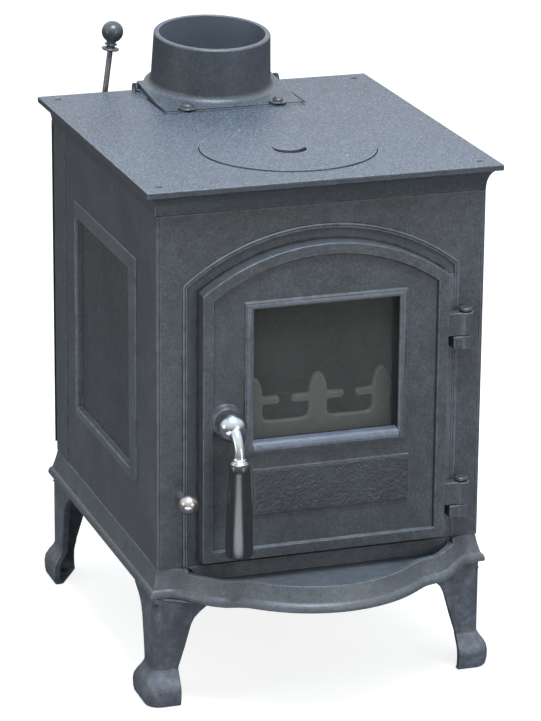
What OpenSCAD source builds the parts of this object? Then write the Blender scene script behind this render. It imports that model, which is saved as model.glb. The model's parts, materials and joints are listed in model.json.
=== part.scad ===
// Small cast-iron wood stove: box-shaped body, arched glass door hung on the right, round hotplate,
// flue collar that leans forward a little, serpentine ash lip and four flared corner legs.
// Origin: middle of the footprint, on the floor. -Y is the door side, +X its right, +Z up.

/* [Shell] */
// Outside width of the front and rear castings
shell_w = 371; // [350:1:400]
// Depth from the front face to the rear face
shell_d = 406; // [390:1:440]
// Height of the top plate's upper face above the floor
body_h = 584; // [575:1:620]
// Height of the seam between the base and the walls
base_top = 156.5; // [150:0.5:164]
// Thickness of the cast walls
wall = 7; // [6:0.5:8]
// How far the front and rear castings stand proud of the side panels
corner_proud = 1; // [0.5:0.1:2]
// Depth of the front casting's side returns
front_return = 26; // [22:1:34]
// Depth of the rear casting's side returns
rear_return = 47; // [30:1:60]
// Thickness of the corner posts that take the screws
post_t = 13; // [12:0.5:16]
// Open seam between a side panel and the corner castings
seam = 0.6; // [0.4:0.1:1]

/* [Top plate] */
// Overhang of the top plate at the front
plate_front = 18; // [14:0.5:26]
// Overhang of the top plate at each side
plate_side = 14.5; // [12:0.5:22]
// Overhang of the top plate at the rear
plate_rear = 14; // [10:0.5:20]
// Thickness of the top plate at its edge
plate_t = 6.5; // [5:0.5:9]
// Height of the cove moulding under the edge
cove_h = 24; // [18:1:30]
// Foot of the cove, how far it stands proud of the wall below
cove_foot = 1.2; // [0.6:0.1:3]
// Flat underside between the cove and the plate's edge
cove_lip = 2; // [1:0.5:4]
// Distance of the corner screws from the shell's outside faces
screw_inset = 5; // [4.5:0.1:7]
// Radius of the corner screws
screw_r = 2.5; // [2:0.1:3]
// Length of the corner screws
screw_l = 50; // [46:1:60]

/* [Hotplate] */
// Radius of the round hotplate
lid_r = 97; // [85:1:105]
// Distance from the shell's front face to the hotplate's centre
lid_y = 115; // [113:1:125]
// Thickness of the hotplate
lid_t = 7; // [6:0.5:10]
// How far the hotplate stands proud of the top plate
lid_proud = 1.5; // [0.5:0.5:3]
// Radial gap round the hotplate
lid_gap = 0.6; // [0.4:0.1:1.5]
// Width of the ledge that carries the hotplate
lid_ledge = 9; // [6:0.5:14]
// Thickness of that ledge
ledge_t = 6; // [4:0.5:9]
// Radius of the lifting boss in its middle
lift_r = 18; // [14:0.5:24]
// Height of the lifting boss
lift_h = 1.5; // [0.5:0.5:4]
// Width of the finger groove in front of the boss
lift_groove = 7; // [3:0.5:12]

/* [Flue collar] */
// Inside radius of the flue collar
flue_r = 61.5; // [55:0.5:65]
// Wall of the collar at its rim
flue_wall = 6; // [5:0.5:8]
// Extra radius at the collar's foot, from the casting draft
flue_draft = 2; // [1:0.5:4]
// Radius of the fillet between collar and flange
flue_fillet = 8; // [4:0.5:9]
// Height of the rim above the flange
collar_h = 61.5; // [50:0.5:90]
// Forward lean of the collar, in degrees
flue_tilt = 5.4; // [3:0.1:6.5]
// Width of the square part of the flange
flange_w = 164; // [160:1:180]
// Length of the square part of the flange
flange_l = 120; // [112:1:121]
// Thickness of the flange
flange_t = 6; // [5:0.5:8]
// Distance from the shell's rear face in to the collar's axis
flue_in = 13.42; // [9:0.01:15]
// Distance from the flange's front edge to the collar's axis
flue_back = 95; // [92:1:99]
// Distance of the front flange bolts from the flange's front edge
flange_bolt_in = 11.5; // [11:0.5:14]
// Distance between the left and right flange bolts
flange_bolt_span = 108; // [100:1:120]
// Radius of the flange bolts
flange_bolt_r = 3; // [2.5:0.5:4]
// Depth of the cast pocket that carries the rear of the collar
pocket_h = 70; // [50:1:90]

/* [Ash lip] */
// Depth of the bow in front of the shell's face, without the moulding
bow_depth = 89; // [70:1:94]
// Radius of the bow in plan
bow_r = 125.5; // [120:0.5:135]
// Depth of the shoulders beside the bow
shoulder_depth = 41; // [30:0.5:43]
// Distance from the middle to the inner end of a shoulder's sweep
shoulder_in = 119; // [116:1:122]
// Distance from the middle to the outer end of a shoulder's sweep
shoulder_out = 174; // [168:1:174]
// Slope of a shoulder towards the bow
shoulder_slope = 0.23; // [0.15:0.01:0.3]
// Softness of the corner between shoulder and bow
bow_blend = 8; // [6:0.5:14]
// Height of the base moulding
base_h = 31.5; // [31:0.5:36]
// Reach of the base moulding at its lip, in the bow
lip_reach = 14; // [12:0.5:16]
// Reach of the base moulding at its lip, along the sides and the rear
side_reach = 9; // [7.5:0.5:11]
// Depth of the ash shelf below the seam
shelf_drop = 17.5; // [14:0.5:19]
// How much lower the shelf's rim is than the corners
rim_drop = 4.5; // [3:0.5:8]
// Distance from the middle to each end of the shelf
shelf_half = 150; // [140:1:154]

/* [Legs] */
// Inset of the legs' outer faces from the moulding's lip
leg_inset = 4.5; // [4:0.5:6]
// Thickness of the legs' walls
leg_t = 8; // [6:0.5:9]
// Width of a leg's front wing at the ankle
wing_front = 27.5; // [26:0.5:36]
// Width of a leg's side wing at the ankle
wing_side = 40; // [34:1:46]
// Extra width of both wings at the top
wing_flare = 41; // [34:1:44]
// Radius of a leg's outer corner
leg_round = 9; // [8.5:0.5:12]
// How far a foot flares out
foot_flare = 12; // [8:0.5:14]
// Height of the ankle
ankle_h = 42; // [36:1:50]
// Radius of the leg bolts
leg_bolt_r = 4; // [3:0.5:5]

/* [Door] */
// Width of the door
door_w = 279; // [270:1:284]
// Height of the door's lower edge above the seam
door_sill = 8.5; // [7:0.5:12]
// Distance from the plate's upper face down to the top of the door's arch
door_drop = 70; // [64:1:80]
// Rise of the door's arch
door_rise = 47; // [36:1:54]
// How far the door's face stands in front of the shell's face
door_stand = 20.5; // [19.5:0.5:23]
// Gap between the door's back edge and the shell's face
door_gap = 2; // [1.5:0.1:3]
// Width of the raised border
border_w = 12; // [10:0.5:14]
// Depth of the door's field below the border
field_drop = 4; // [2:0.5:5]
// Width of the window opening
window_w = 164; // [150:1:168]
// Distance from the top of the door's arch down to the window's upper edge
window_drop = 67; // [64:1:80]
// Height of the window's lower edge above the door's lower edge
window_sill = 133; // [130:1:140]
// Width of the window moulding at the sides and the top
mould_w = 10.5; // [8:0.5:12]
// Width of the sloped moulding below the window
mould_sill = 13; // [12:0.5:18]
// Width of the flat rim round the window's flared opening
rim_w = 3.5; // [2.5:0.5:5]
// Height of the window moulding above the field
mould_h = 3.5; // [2:0.5:4]
// Width of the textured plaque
plaque_w = 179; // [150:1:182]
// Height of the textured plaque
plaque_h = 53.5; // [40:0.5:56]
// Height of the plaque's lower edge above the door's lower edge
plaque_sill = 47.5; // [40:0.5:56]
// Offset of the plaque's middle from the door's middle
plaque_x = 7.5; // [0:0.5:10]
// Height of the plaque above the field
plaque_t = 1.5; // [1:0.5:3]
// Thickness of the window glass
glass_t = 4; // [3:0.5:4]
// Lap of the glass behind the door
glass_lap = 12; // [8:0.5:13]
// Distance from the door's edge out to the bead round it
bead_gap = 17; // [14:0.5:18]
// Width of that bead
bead_w = 3.5; // [2:0.5:5]
// Height of that bead
bead_h = 3; // [1:0.5:4]
// Lap of the door over the firebox mouth
mouth_lap = 15.5; // [14.5:0.5:17]

/* [Hinges] */
// Distance from the door's edge to the hinge pins' axis
hinge_out = 22.5; // [21:0.5:23.5]
// Distance from the shell's face out to the hinge pins' axis
hinge_stand = 11; // [10.5:0.5:12]
// Radius of the hinge pins
pin_r = 4; // [3:0.5:5]
// Running clearance of the pins in the door's lugs
pin_gap = 0.08; // [0.05:0.01:0.1]
// Radius of the hinge knuckles
knuckle_r = 9; // [8:0.5:10]
// Distance from the top of the door's arch down to the seam in the upper hinge
hinge_drop = 118.5; // [110:0.5:130]
// Height of the seam in the lower hinge above the door's lower edge
hinge_lower = 35; // [30:0.5:50]
// Height of the door's lugs
door_lug_h = 25.5; // [18:0.5:30]
// Height of the frame's lugs
frame_lug_h = 15; // [12:0.5:20]

/* [Handle] */
// Distance from the door's left edge to the spindle's axis
spindle_in = 26.5; // [26:0.5:28]
// Height of the spindle above the door's lower edge
spindle_up = 160; // [150:1:175]
// Radius of the spindle
spindle_r = 5; // [4:0.5:6]
// Radius of the boss on the door
boss_r = 19; // [16:0.5:20]
// Height of the boss above the door's field
boss_h = 7.5; // [5:0.5:9]
// Radius of the chromed ball
ball_r = 15; // [12:0.5:16]
// Radius of the bend in the chromed neck
neck_bend = 26; // [23:0.5:30]
// Radius of the neck
neck_r = 7.4; // [6:0.1:9]
// Radius of the ferrule
ferrule_r = 11; // [9:0.5:12]
// Height of the ferrule
ferrule_h = 7; // [5:0.5:10]
// Length of the grip
grip_l = 102; // [80:1:110]
// Radius of the grip at its top
grip_top_r = 11.5; // [10:0.5:13]
// Radius of the grip near its lower end
grip_end_r = 16; // [12:0.5:16]
// Reach of the latch tongue from the spindle's axis
tongue_l = 16; // [13:0.5:16]

/* [Grate and rod] */
// Height of the grate frame's underside above the seam
grate_up = 65.5; // [62:0.5:74]
// Thickness of the grate frame
grate_t = 12; // [10:0.5:14]
// Thickness of the riddling plate
riddle_t = 8; // [6:0.5:8]
// Width of the riddling plate
riddle_w = 280; // [240:1:284]
// Distance from the shell's front face to the riddling plate
riddle_front = 71; // [68:1:90]
// Gap between the riddling plate and the rear brick
riddle_back = 35; // [32:1:80]
// Travel of the riddling rod
riddle_travel = 40; // [20:1:44]
// Distance from the shell's middle to the riddling rod
rod_x = 160; // [158:0.5:161]
// Radius of the riddling rod
rod_r = 4; // [3:0.5:4.5]
// Running clearance of the rod in the front casting
rod_gap = 0.1; // [0.05:0.01:0.1]
// Radius of the ball knob on the rod
knob_r = 11; // [9:0.5:13]
// Distance from the shell's face to the ball knob's centre
knob_out = 34; // [30:1:40]

/* [Firebox] */
// Thickness of the fire bricks
brick_t = 25; // [20:1:28]
// Air channel behind the rear brick
air_gap = 8; // [5:0.5:10]
// Height of the smoke chamber above the baffle plate
smoke_h = 61.5; // [58:0.5:90]
// Height of the rib that carries the fire bricks above the grate frame
brick_rib = 16; // [14:0.5:20]
// Thickness of the baffle plate
baffle_t = 6; // [5:0.5:10]
// Gap left for the smoke in front of the baffle
baffle_front = 95; // [60:1:120]
// Height of the bars of the log guard above the grate frame
guard_bar = 74; // [50:1:78]
// Height of the finials above the guard's bar
guard_top = 51; // [36:1:54]
// Gap between the end of the log guard and the spindle's axis
guard_side = 11; // [10:0.5:16]
// Offset of the middle finial from the middle of the stove
guard_x = 2.5; // [0:0.5:5]
// Thickness of the log guard
guard_t = 6; // [5:0.5:8]
// Width of the ash pan
pan_w = 236; // [200:1:238]
// Height of the ash pan
pan_h = 40; // [30:1:44]
// Wall of the ash pan
pan_t = 1.5; // [1:0.5:2]
// Height of the ribs that carry the ash pan
pan_rib = 17; // [16.5:0.5:19]

/* [Side panels] */
// Height of the raised frame's lower edge above the seam
frame_up = 73; // [60:1:90]
// Distance from the raised frame's upper edge to the top of the panel
frame_down = 67.5; // [55:0.5:85]
// Distance from the raised frame to the front edge of the panel
frame_front = 50; // [40:1:60]
// Distance from the raised frame to the rear edge of the panel
frame_rear = 40; // [34:1:60]
// Width of the raised frame's bevel
bevel_w = 14; // [10:0.5:20]
// Height of the raised frame's crest
bevel_h = 4.2; // [3:0.1:6]
// Depth of the textured field below the panel's face
recess = 2.3; // [1:0.1:3]

/* [Rear air inlet] */
// Distance from the shell's middle to the lever's pivot
pivot_x = 125.5; // [122:0.5:127]
// Distance from the plate's upper face down to the lever's pivot
pivot_down = 84; // [80:1:100]
// Distance from the pivot to the inlet's centre
inlet_drop = 38; // [36:1:44]
// Radius of the inlet
inlet_r = 20; // [14:0.5:21]
// Wall of the inlet's boss
inlet_wall = 10; // [8:0.5:11]
// Lean of the lever in the photograph's position, in degrees
lever_lean = 7.7; // [4:0.1:10]
// Distance from the pivot to the middle of the lever's knob
lever_l = 152; // [145:1:170]
// Radius of the lever's rod
lever_r = 3.2; // [2.5:0.1:4]
// Radius of the lever's knob
lever_knob_r = 12.5; // [10:0.5:13]
// Thickness of the shutter
shutter_t = 3; // [2:0.5:4]

/* [Heat shield] */
// Distance from the shell's rear face to the heat shield
shield_gap = 19; // [15:0.5:20]
// Thickness of the heat shield
shield_t = 1.5; // [1:0.1:2]
// Inset of the heat shield from the shell's sides
shield_in = 3.5; // [2:0.5:10]
// Height of the heat shield's lower edge above the seam
shield_up = 4; // [2:1:20]
// Distance of the shield's screws from the shell's sides
shield_side = 28; // [20:1:40]
// Height of the lower shield screws above the seam
shield_low = 40; // [30:1:80]
// Distance of the upper shield screws from the top of the wall
shield_high = 130; // [110:1:150]

/* [Hidden] */
$fn = 64;
far = 900;
eps = 0.01;

// Colours
iron = [0.30, 0.32, 0.35];
iron_dark = [0.22, 0.23, 0.25];
steel = [0.62, 0.63, 0.65];
chrome = [0.82, 0.83, 0.86];
brick = [0.78, 0.70, 0.58];

// Fore and aft places
half_w = shell_w / 2;
side_x = half_w - corner_proud;
front_reach = lip_at(0) + lip_reach;
flue_at = shell_d - flue_in;
flange_y = flue_at - flue_back * cos(flue_tilt);
tongue_r = flue_r + flue_wall + flue_draft + flue_fillet;
rear_reach = flue_at + tongue_r - shell_d;
face_y = (front_reach - shell_d - rear_reach) / 2;
back_y = face_y + shell_d;
inner_front = face_y + wall;
inner_back = back_y - wall;
inner_x = side_x - wall;
pocket_r = tongue_r - 1;
panel_y0 = face_y + front_return + seam;
panel_y1 = back_y - rear_return - seam;
flue_y = face_y + flue_at;
rear_brick_y = inner_back - air_gap - brick_t;
riddle_y0 = face_y + riddle_front;
riddle_l = rear_brick_y - riddle_back - riddle_y0;

// Heights
plate_under = body_h - plate_t;
wall_top = plate_under - cove_h;
pocket_top = plate_under - 8;
base_low = base_top - base_h;
shelf_z = base_top - shelf_drop;
base_t = wall;
grate_z = base_top + grate_up;
grate_top = grate_z + grate_t;
brick_z = grate_top + brick_rib;
brick_top = wall_top - smoke_h - baffle_t;
rest_gap = 0.3;

// Door
door_half = door_w / 2;
door_z = base_top + door_sill;
door_top = body_h - door_drop;
arch_r = (door_half * door_half + door_rise * door_rise) / (2 * door_rise);
arch_z = door_top - arch_r;
door_face = face_y - door_stand;
door_field = door_face + field_drop;
door_inner = door_field + wall;
door_back = face_y - door_gap;
window_z = door_z + window_sill;
window_h = door_top - window_drop - window_z;
mouth_half = door_half - mouth_lap;
mouth_z = door_z + mouth_lap / 2;
pan_z = base_top + pan_rib;
gasket_t = 1;
glass_y = door_inner + gasket_t;
clip_x = 70;
clip_r = 2;
clip_boss_r = 5;
clip_out = 8;
clip_t = 2;
spindle_x = -door_half + spindle_in;
spindle_z = door_z + spindle_up;
spindle_gap = 0.1;
notch_edge = tongue_l + 2.5;
notch_half = 14;
tongue_y = inner_front + 2;
tongue_t = 5;
tongue_hub = 8;
nut_t = 5;

// Hinges
hinge_x = door_half + hinge_out;
hinge_upper = door_top - door_z - hinge_drop;
hinge_y = face_y - hinge_stand;
lug_gap = 0.3;
pin_head_r = 7.3;

// Handle
ball_y = door_field - boss_h - ball_r + 0.5;
grip_y = ball_y - neck_bend;
ferrule_z = spindle_z - neck_bend;

// Riddling rod
rod_z = grate_top + 7;
knob_y = face_y - knob_out;

// Rear lever
pivot_z = body_h - pivot_down;
boss_y = back_y + shield_gap + shield_t + 3;
shutter_y = boss_y + rest_gap;
lever_y = shutter_y + shutter_t + lever_r;
pivot_r = 4;
pivot_gap = 0.08;
shutter_r = inlet_r + 7;
hub_r = 12;

// Base moulding: reach beyond the wall and height above the lower edge
base_profile = [[lip_reach - 4.5, 0], [lip_reach - 0.6, 0.3], [lip_reach, 1.6], [lip_reach - 0.3, 4.4],
    [lip_reach - 1.8, 7.4], [lip_reach - 4, 9], [lip_reach - 5.6, 9.6], [lip_reach - 7, 13],
    [lip_reach - 9.2, 18.5], [lip_reach - 11.4, 25], [lip_reach - 12.6, base_h - 1.5], [0, base_h]];

// Outline of a leg, upwards: height as a share, spread outwards, shares of the front and side flares
leg_top = base_low;
foot_levels = [[0, 0.6, 0, 0], [0.02, 0.76, 0, 0], [0.07, 0.88, 0, 0], [0.2, 0.97, 0, 0], [0.4, 1, 0, 0],
    [0.56, 0.9, 0, 0], [0.7, 0.62, 0, 0], [0.84, 0.25, 0, 0], [0.94, 0.05, 0, 0], [1, 0, 0, 0]];
stem_levels = [[0.09, 0, 0.06, 0.02], [0.28, 0, 0.18, 0.08], [0.42, 0, 0.26, 0.14], [0.58, 0, 0.35, 0.2],
    [0.67, 0, 0.44, 0.27], [0.75, 0, 0.6, 0.38], [0.81, 0, 0.76, 0.52], [0.855, 0, 0.89, 0.68],
    [0.9, 0, 1, 0.84], [1.05, 0, 1.06, 1.08]];

// Plan of the ash lip in front of the shell's face, at a distance from the middle
function shoulder_sweep(t) = shoulder_depth * (3 * t * t - 2 * t * t * t)
    + shoulder_slope * (shoulder_out - shoulder_in) * (t * t * t - t * t);
function shoulder_at(x) = x >= shoulder_out ? 0
    : x <= shoulder_in ? shoulder_depth + shoulder_slope * (shoulder_in - x)
    : shoulder_sweep((shoulder_out - x) / (shoulder_out - shoulder_in));
function bow_at(x) = bow_depth - bow_r + sqrt(bow_r * bow_r - x * x);
function soft_max(a, b, k) = (a + b + sqrt((a - b) * (a - b) + k * k)) / 2;
function lip_at(x) = abs(x) > bow_r - 4 ? shoulder_at(abs(x))
    : soft_max(bow_at(abs(x)), shoulder_at(abs(x)), bow_blend);
function lip_slope(x) = lip_at(x + 0.5) - lip_at(x - 0.5);
function outer_reach(reach) = -1 + (side_reach + 1) * reach / lip_reach;
function lip_share(x) = min(1, max(0, (half_w - abs(x)) / (half_w - shoulder_in)));
function reach_at(x, reach) = reach < 0 ? reach
    : outer_reach(reach) + (reach - outer_reach(reach)) * lip_share(x);
function lip_point(x, reach) = let (s = lip_slope(x), n = sqrt(1 + s * s), r = reach_at(x, reach))
    [x - r * s / n, face_y - lip_at(x) - r / n];
lip_steps = 62;
function lip_curve(reach) = [for (i = [0 : lip_steps])
    lip_point((half_w - 8) * (2 * i / lip_steps - 1), reach)];
function base_outline(reach) = let (side = outer_reach(reach), a = [-half_w - side, face_y - side])
    concat([a], lip_curve(reach), [[-a[0], a[1]], [-a[0], back_y + side], [a[0], back_y + side]]);

// Closed skin through rings that have the same number of points
function ring_faces(rings, n) = concat([[for (i = [0 : n - 1]) i]],
    [for (r = [0 : rings - 2], i = [0 : n - 1]) [r * n + (i + 1) % n, r * n + i, (r + 1) * n + i]],
    [for (r = [0 : rings - 2], i = [0 : n - 1])
        [r * n + (i + 1) % n, (r + 1) * n + i, (r + 1) * n + (i + 1) % n]],
    [[for (i = [n - 1 : -1 : 0]) (rings - 1) * n + i]]);
module skin(rings) {
    n = len(rings[0]);
    points = [for (r = rings, p = r) p];
    polyhedron(points = points, faces = ring_faces(len(rings), n), convexity = 8);
}

// Slab whose edge has one moulding profile per side, with mitred corners
module mitred_slab(side, front, rear) {
    n = len(side);
    intersection() {
        rotate([90, 0, 0]) translate([0, 0, -far]) linear_extrude(2 * far)
            polygon(concat([for (p = side) [half_w + p[0], p[1]]],
                [for (i = [n - 1 : -1 : 0]) [-half_w - side[i][0], side[i][1]]]));
        rotate([90, 0, 90]) translate([0, 0, -far]) linear_extrude(2 * far)
            polygon(concat([for (p = rear) [back_y + p[0], p[1]]],
                [for (i = [n - 1 : -1 : 0]) [face_y - front[i][0], front[i][1]]]));
    }
}

// Cylinder along +Y and block by its two corners
module along_y(r, y0, y1, x, z, r2 = undef) {
    translate([x, y0, z]) rotate([-90, 0, 0]) cylinder(h = y1 - y0, r1 = r, r2 = is_undef(r2) ? r : r2);
}
module block(a, b) {
    translate(a) cube(b - a);
}

// Arched outline, drawn in from the door's edge by a margin
module arch_2d(margin, bottom) {
    half = door_half - margin;
    r = arch_r - margin;
    spring = arch_z + sqrt(r * r - half * half);
    union() {
        translate([-half, bottom]) square([2 * half, spring - bottom]);
        intersection() {
            translate([-half, spring - 1]) square([2 * half, r]);
            translate([0, arch_z]) circle(r, $fn = 160);
        }
    }
}
module arch_plate(margin, bottom, y0, y1) {
    translate([0, y1, 0]) rotate([90, 0, 0]) linear_extrude(y1 - y0) arch_2d(margin, bottom);
}

// Local frame of the flue: its front edge on the top plate, leaning forward
module at_flue() {
    translate([0, face_y + flange_y, body_h]) rotate([flue_tilt, 0, 0]) children();
}
module flange_2d(grow) {
    union() {
        translate([-flange_w / 2 - grow, -grow]) square([flange_w + 2 * grow, flange_l + 2 * grow]);
        translate([0, flue_back]) circle(tongue_r - 2 + grow, $fn = 96);
    }
}
module flange_bolt_places() {
    for (sx = [-1, 1])
        translate([sx * flange_bolt_span / 2, flange_bolt_in, 0]) children();
}
corner_x = half_w - screw_inset;
module corner_places() {
    for (sx = [-1, 1], y = [face_y + screw_inset, back_y - screw_inset])
        translate([sx * corner_x, y, 0]) children();
}

function cove(reach) = concat([[0, wall_top], [cove_foot, wall_top]],
    [for (i = [0 : 8]) let (a = 90 * i / 8)
        [reach - cove_lip - (reach - cove_lip - cove_foot) * cos(a), wall_top + 1 + (cove_h - 1) * sin(a)]],
    [[reach, plate_under], [reach, body_h], [0, body_h]]);

module top_plate() {
    seat_w = flange_w + 2;
    color(iron) difference() {
        union() {
            difference() {
                mitred_slab(cove(plate_side), cove(plate_front), cove(plate_rear));
                block([-inner_x, inner_front, wall_top - 1], [inner_x, inner_back, plate_under]);
                intersection() {
                    translate([0, flue_y, wall_top - 1])
                        cylinder(h = pocket_top - wall_top + 1, r = pocket_r + 0.4, $fn = 96);
                    block([-far, back_y - 1.4, 0], [far, far, far]);
                }
            }
            translate([0, face_y + lid_y, body_h - lid_t + lid_proud - ledge_t])
                cylinder(h = lid_t - lid_proud + ledge_t - 1, r = lid_r + lid_ledge, $fn = 128);
            intersection() {
                translate([0, 0, pocket_top]) linear_extrude(60) {
                    translate([-seat_w / 2, face_y + flange_y - 6])
                        square([seat_w, shell_d + plate_rear - flange_y + 6]);
                    translate([0, flue_y]) circle(tongue_r, $fn = 96);
                }
                at_flue() block([-far, -far, -far], [far, far, -flange_t]);
            }
            for (sx = [-1, 1]) translate([sx * seat_w / 2, back_y + 4, body_h + 3.5])
                rotate([0, sx * 90, 0]) cylinder(h = 5, r = 7);
        }
        translate([0, face_y + lid_y, body_h - lid_t + lid_proud])
            cylinder(h = lid_t, r = lid_r + lid_gap, $fn = 128);
        translate([0, face_y + lid_y, wall_top])
            cylinder(h = cove_h + plate_t, r = lid_r - lid_ledge, $fn = 128);
        at_flue() translate([0, 0, -flange_t]) linear_extrude(40) flange_2d(0.4);
        at_flue() translate([0, flue_back, -50]) cylinder(h = 60, r = flue_r + 1, $fn = 96);
        at_flue() flange_bolt_places() translate([0, 0, -30]) cylinder(h = 40, r = flange_bolt_r);
        corner_places() translate([0, 0, wall_top - 1]) cylinder(h = far, r = screw_r + 0.2);
        corner_places() translate([0, 0, body_h - 3]) cylinder(h = 3.2, r1 = screw_r + 0.2, r2 = screw_r + 1.9);
    }
}

module hotplate_lid() {
    color(iron) translate([0, face_y + lid_y, body_h + lid_proud - lid_t]) union() {
        difference() {
            union() {
                cylinder(h = lid_t, r = lid_r, $fn = 128);
                translate([0, 0, -4]) cylinder(h = 4 + eps, r = lid_r - lid_ledge - 2, $fn = 128);
            }
            translate([0, -lift_groove, lid_t - 4]) cylinder(h = 5, r = lift_r);
        }
        translate([0, 0, lid_t - 5]) cylinder(h = 5 + lift_h, r = lift_r);
    }
}

module flue_collar() {
    foot = flue_r + flue_wall + flue_draft;
    color(iron) at_flue() difference() {
        union() {
            translate([0, 0, -flange_t]) linear_extrude(flange_t) flange_2d(0);
            translate([0, flue_back, 0]) rotate_extrude($fn = 96) polygon(concat(
                [[flue_r - 3, -1], [foot + flue_fillet, -1], [foot + flue_fillet, 0]],
                [for (i = [1 : 7]) let (a = 90 * i / 8)
                    [foot + flue_fillet - flue_fillet * sin(a), flue_fillet - flue_fillet * cos(a)]],
                [[foot, flue_fillet], [flue_r + flue_wall, collar_h - 1.5],
                    [flue_r + flue_wall - 1.5, collar_h], [flue_r - 3, collar_h]]));
        }
        translate([0, flue_back, -flange_t - 1]) cylinder(h = collar_h + flange_t + 2, r = flue_r, $fn = 96);
        flange_bolt_places() translate([0, 0, -flange_t - 1]) cylinder(h = 20, r = flange_bolt_r + 0.3);
    }
}

module flue_bolts() {
    color(steel) at_flue() flange_bolt_places() {
        cylinder(h = 1.6, r = 10);
        translate([0, 0, 1.5]) rotate_extrude() polygon(concat([[0, 0], [6.5, 0], [6.5, 2.5]],
            [for (i = [1 : 7]) let (a = 90 * i / 8) [6.5 * cos(a), 2.5 + 3.5 * sin(a)]], [[0, 6]]));
        translate([0, 0, -16]) cylinder(h = 18, r = flange_bolt_r);
    }
}

module corner_screws() {
    color(steel) corner_places() {
        translate([0, 0, body_h - 3]) cylinder(h = 2.6, r1 = screw_r, r2 = screw_r + 1.3);
        translate([0, 0, body_h - screw_l]) cylinder(h = screw_l - 2.9, r = screw_r);
    }
}

module screw_bores() {
    corner_places() translate([0, 0, body_h - screw_l - 2]) cylinder(h = far, r = screw_r + 0.2);
}

module front_frame() {
    lug_x = hinge_x;
    color(iron) difference() {
        union() {
            block([-half_w, face_y, base_top], [half_w, inner_front, wall_top]);
            for (sx = [-1, 1]) block([min(sx * half_w, sx * (half_w - post_t)), face_y, base_top],
                [max(sx * half_w, sx * (half_w - post_t)), face_y + front_return, wall_top]);
            difference() {
                arch_plate(-bead_gap, base_top, face_y - bead_h, face_y + 1);
                arch_plate(bead_w - bead_gap, base_top - 1, face_y - bead_h - 1, face_y + 2);
            }
            difference() {
                arch_plate(bead_w - bead_gap - eps, base_top, face_y - 1, face_y + 1);
                arch_plate(-1.5, base_top - 1, face_y - 2, face_y + 2);
            }
            for (z = [hinge_upper, hinge_lower]) {
                translate([lug_x, hinge_y, door_z + z - lug_gap - frame_lug_h])
                    cylinder(h = frame_lug_h, r = knuckle_r);
                block([lug_x - knuckle_r, hinge_y, door_z + z - lug_gap - frame_lug_h],
                    [lug_x + knuckle_r, face_y + 1, door_z + z - lug_gap]);
            }
        }
        arch_plate(mouth_lap, mouth_z, face_y - 10, face_y + 20);
        block([spindle_x - notch_edge, face_y - 10, spindle_z - notch_half],
            [spindle_x, face_y + 20, spindle_z + notch_half]);
        for (z = [hinge_upper, hinge_lower])
            translate([lug_x, hinge_y, door_z + z - frame_lug_h - 10])
                cylinder(h = frame_lug_h + 20, r = pin_r);
        along_y(rod_r + rod_gap, face_y - 10, face_y + front_return + 10, -rod_x, rod_z);
        keeper_places() rotate([90, 0, 0]) translate([0, 0, -eps]) cylinder(h = wall - 2, r = 2);
        screw_bores();
    }
}

// Side panel with a raised, bevelled frame round a textured field
module side_panel(s) {
    y0 = panel_y0 + frame_front;
    y1 = panel_y1 - frame_rear;
    z0 = base_top + frame_up;
    z1 = wall_top - frame_down;
    out = side_x + bevel_h;
    color(iron_dark) mirror([s < 0 ? 1 : 0, 0, 0]) difference() {
        union() {
            block([inner_x, panel_y0, base_top], [side_x, panel_y1, wall_top]);
            intersection() {
                translate([0, far, 0]) rotate([90, 0, 0]) linear_extrude(2 * far)
                    polygon([[inner_x + 1, z0], [side_x, z0], [out, z0 + bevel_w],
                        [out, z1 - bevel_w], [side_x, z1], [inner_x + 1, z1]]);
                linear_extrude(far) polygon([[inner_x + 1, y0], [side_x, y0], [out, y0 + bevel_w],
                    [out, y1 - bevel_w], [side_x, y1], [inner_x + 1, y1]]);
            }
            block([inner_x - 8, inner_front + 30, grate_z - 10], [inner_x + 1, inner_back - 60, grate_z]);
        }
        block([side_x - recess, y0 + bevel_w, z0 + bevel_w], [side_x + far, y1 - bevel_w, z1 - bevel_w]);
    }
}
module left_side_panel() { side_panel(-1); }
module right_side_panel() { side_panel(1); }

module inlet_boss(grow, y0, y1) {
    along_y(inlet_r + inlet_wall + grow, y0, y1, -pivot_x, pivot_z - inlet_drop);
    along_y(hub_r + 2 + grow, y0, y1, -pivot_x, pivot_z);
    block([-pivot_x - hub_r - 2 - grow, y0, pivot_z - inlet_drop], [-pivot_x + hub_r + 2 + grow, y1, pivot_z]);
}

shield_points = [for (sx = [-1, 1], z = [base_top + shield_low, wall_top - shield_high])
    [sx * (half_w - shield_side), z]];

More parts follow.
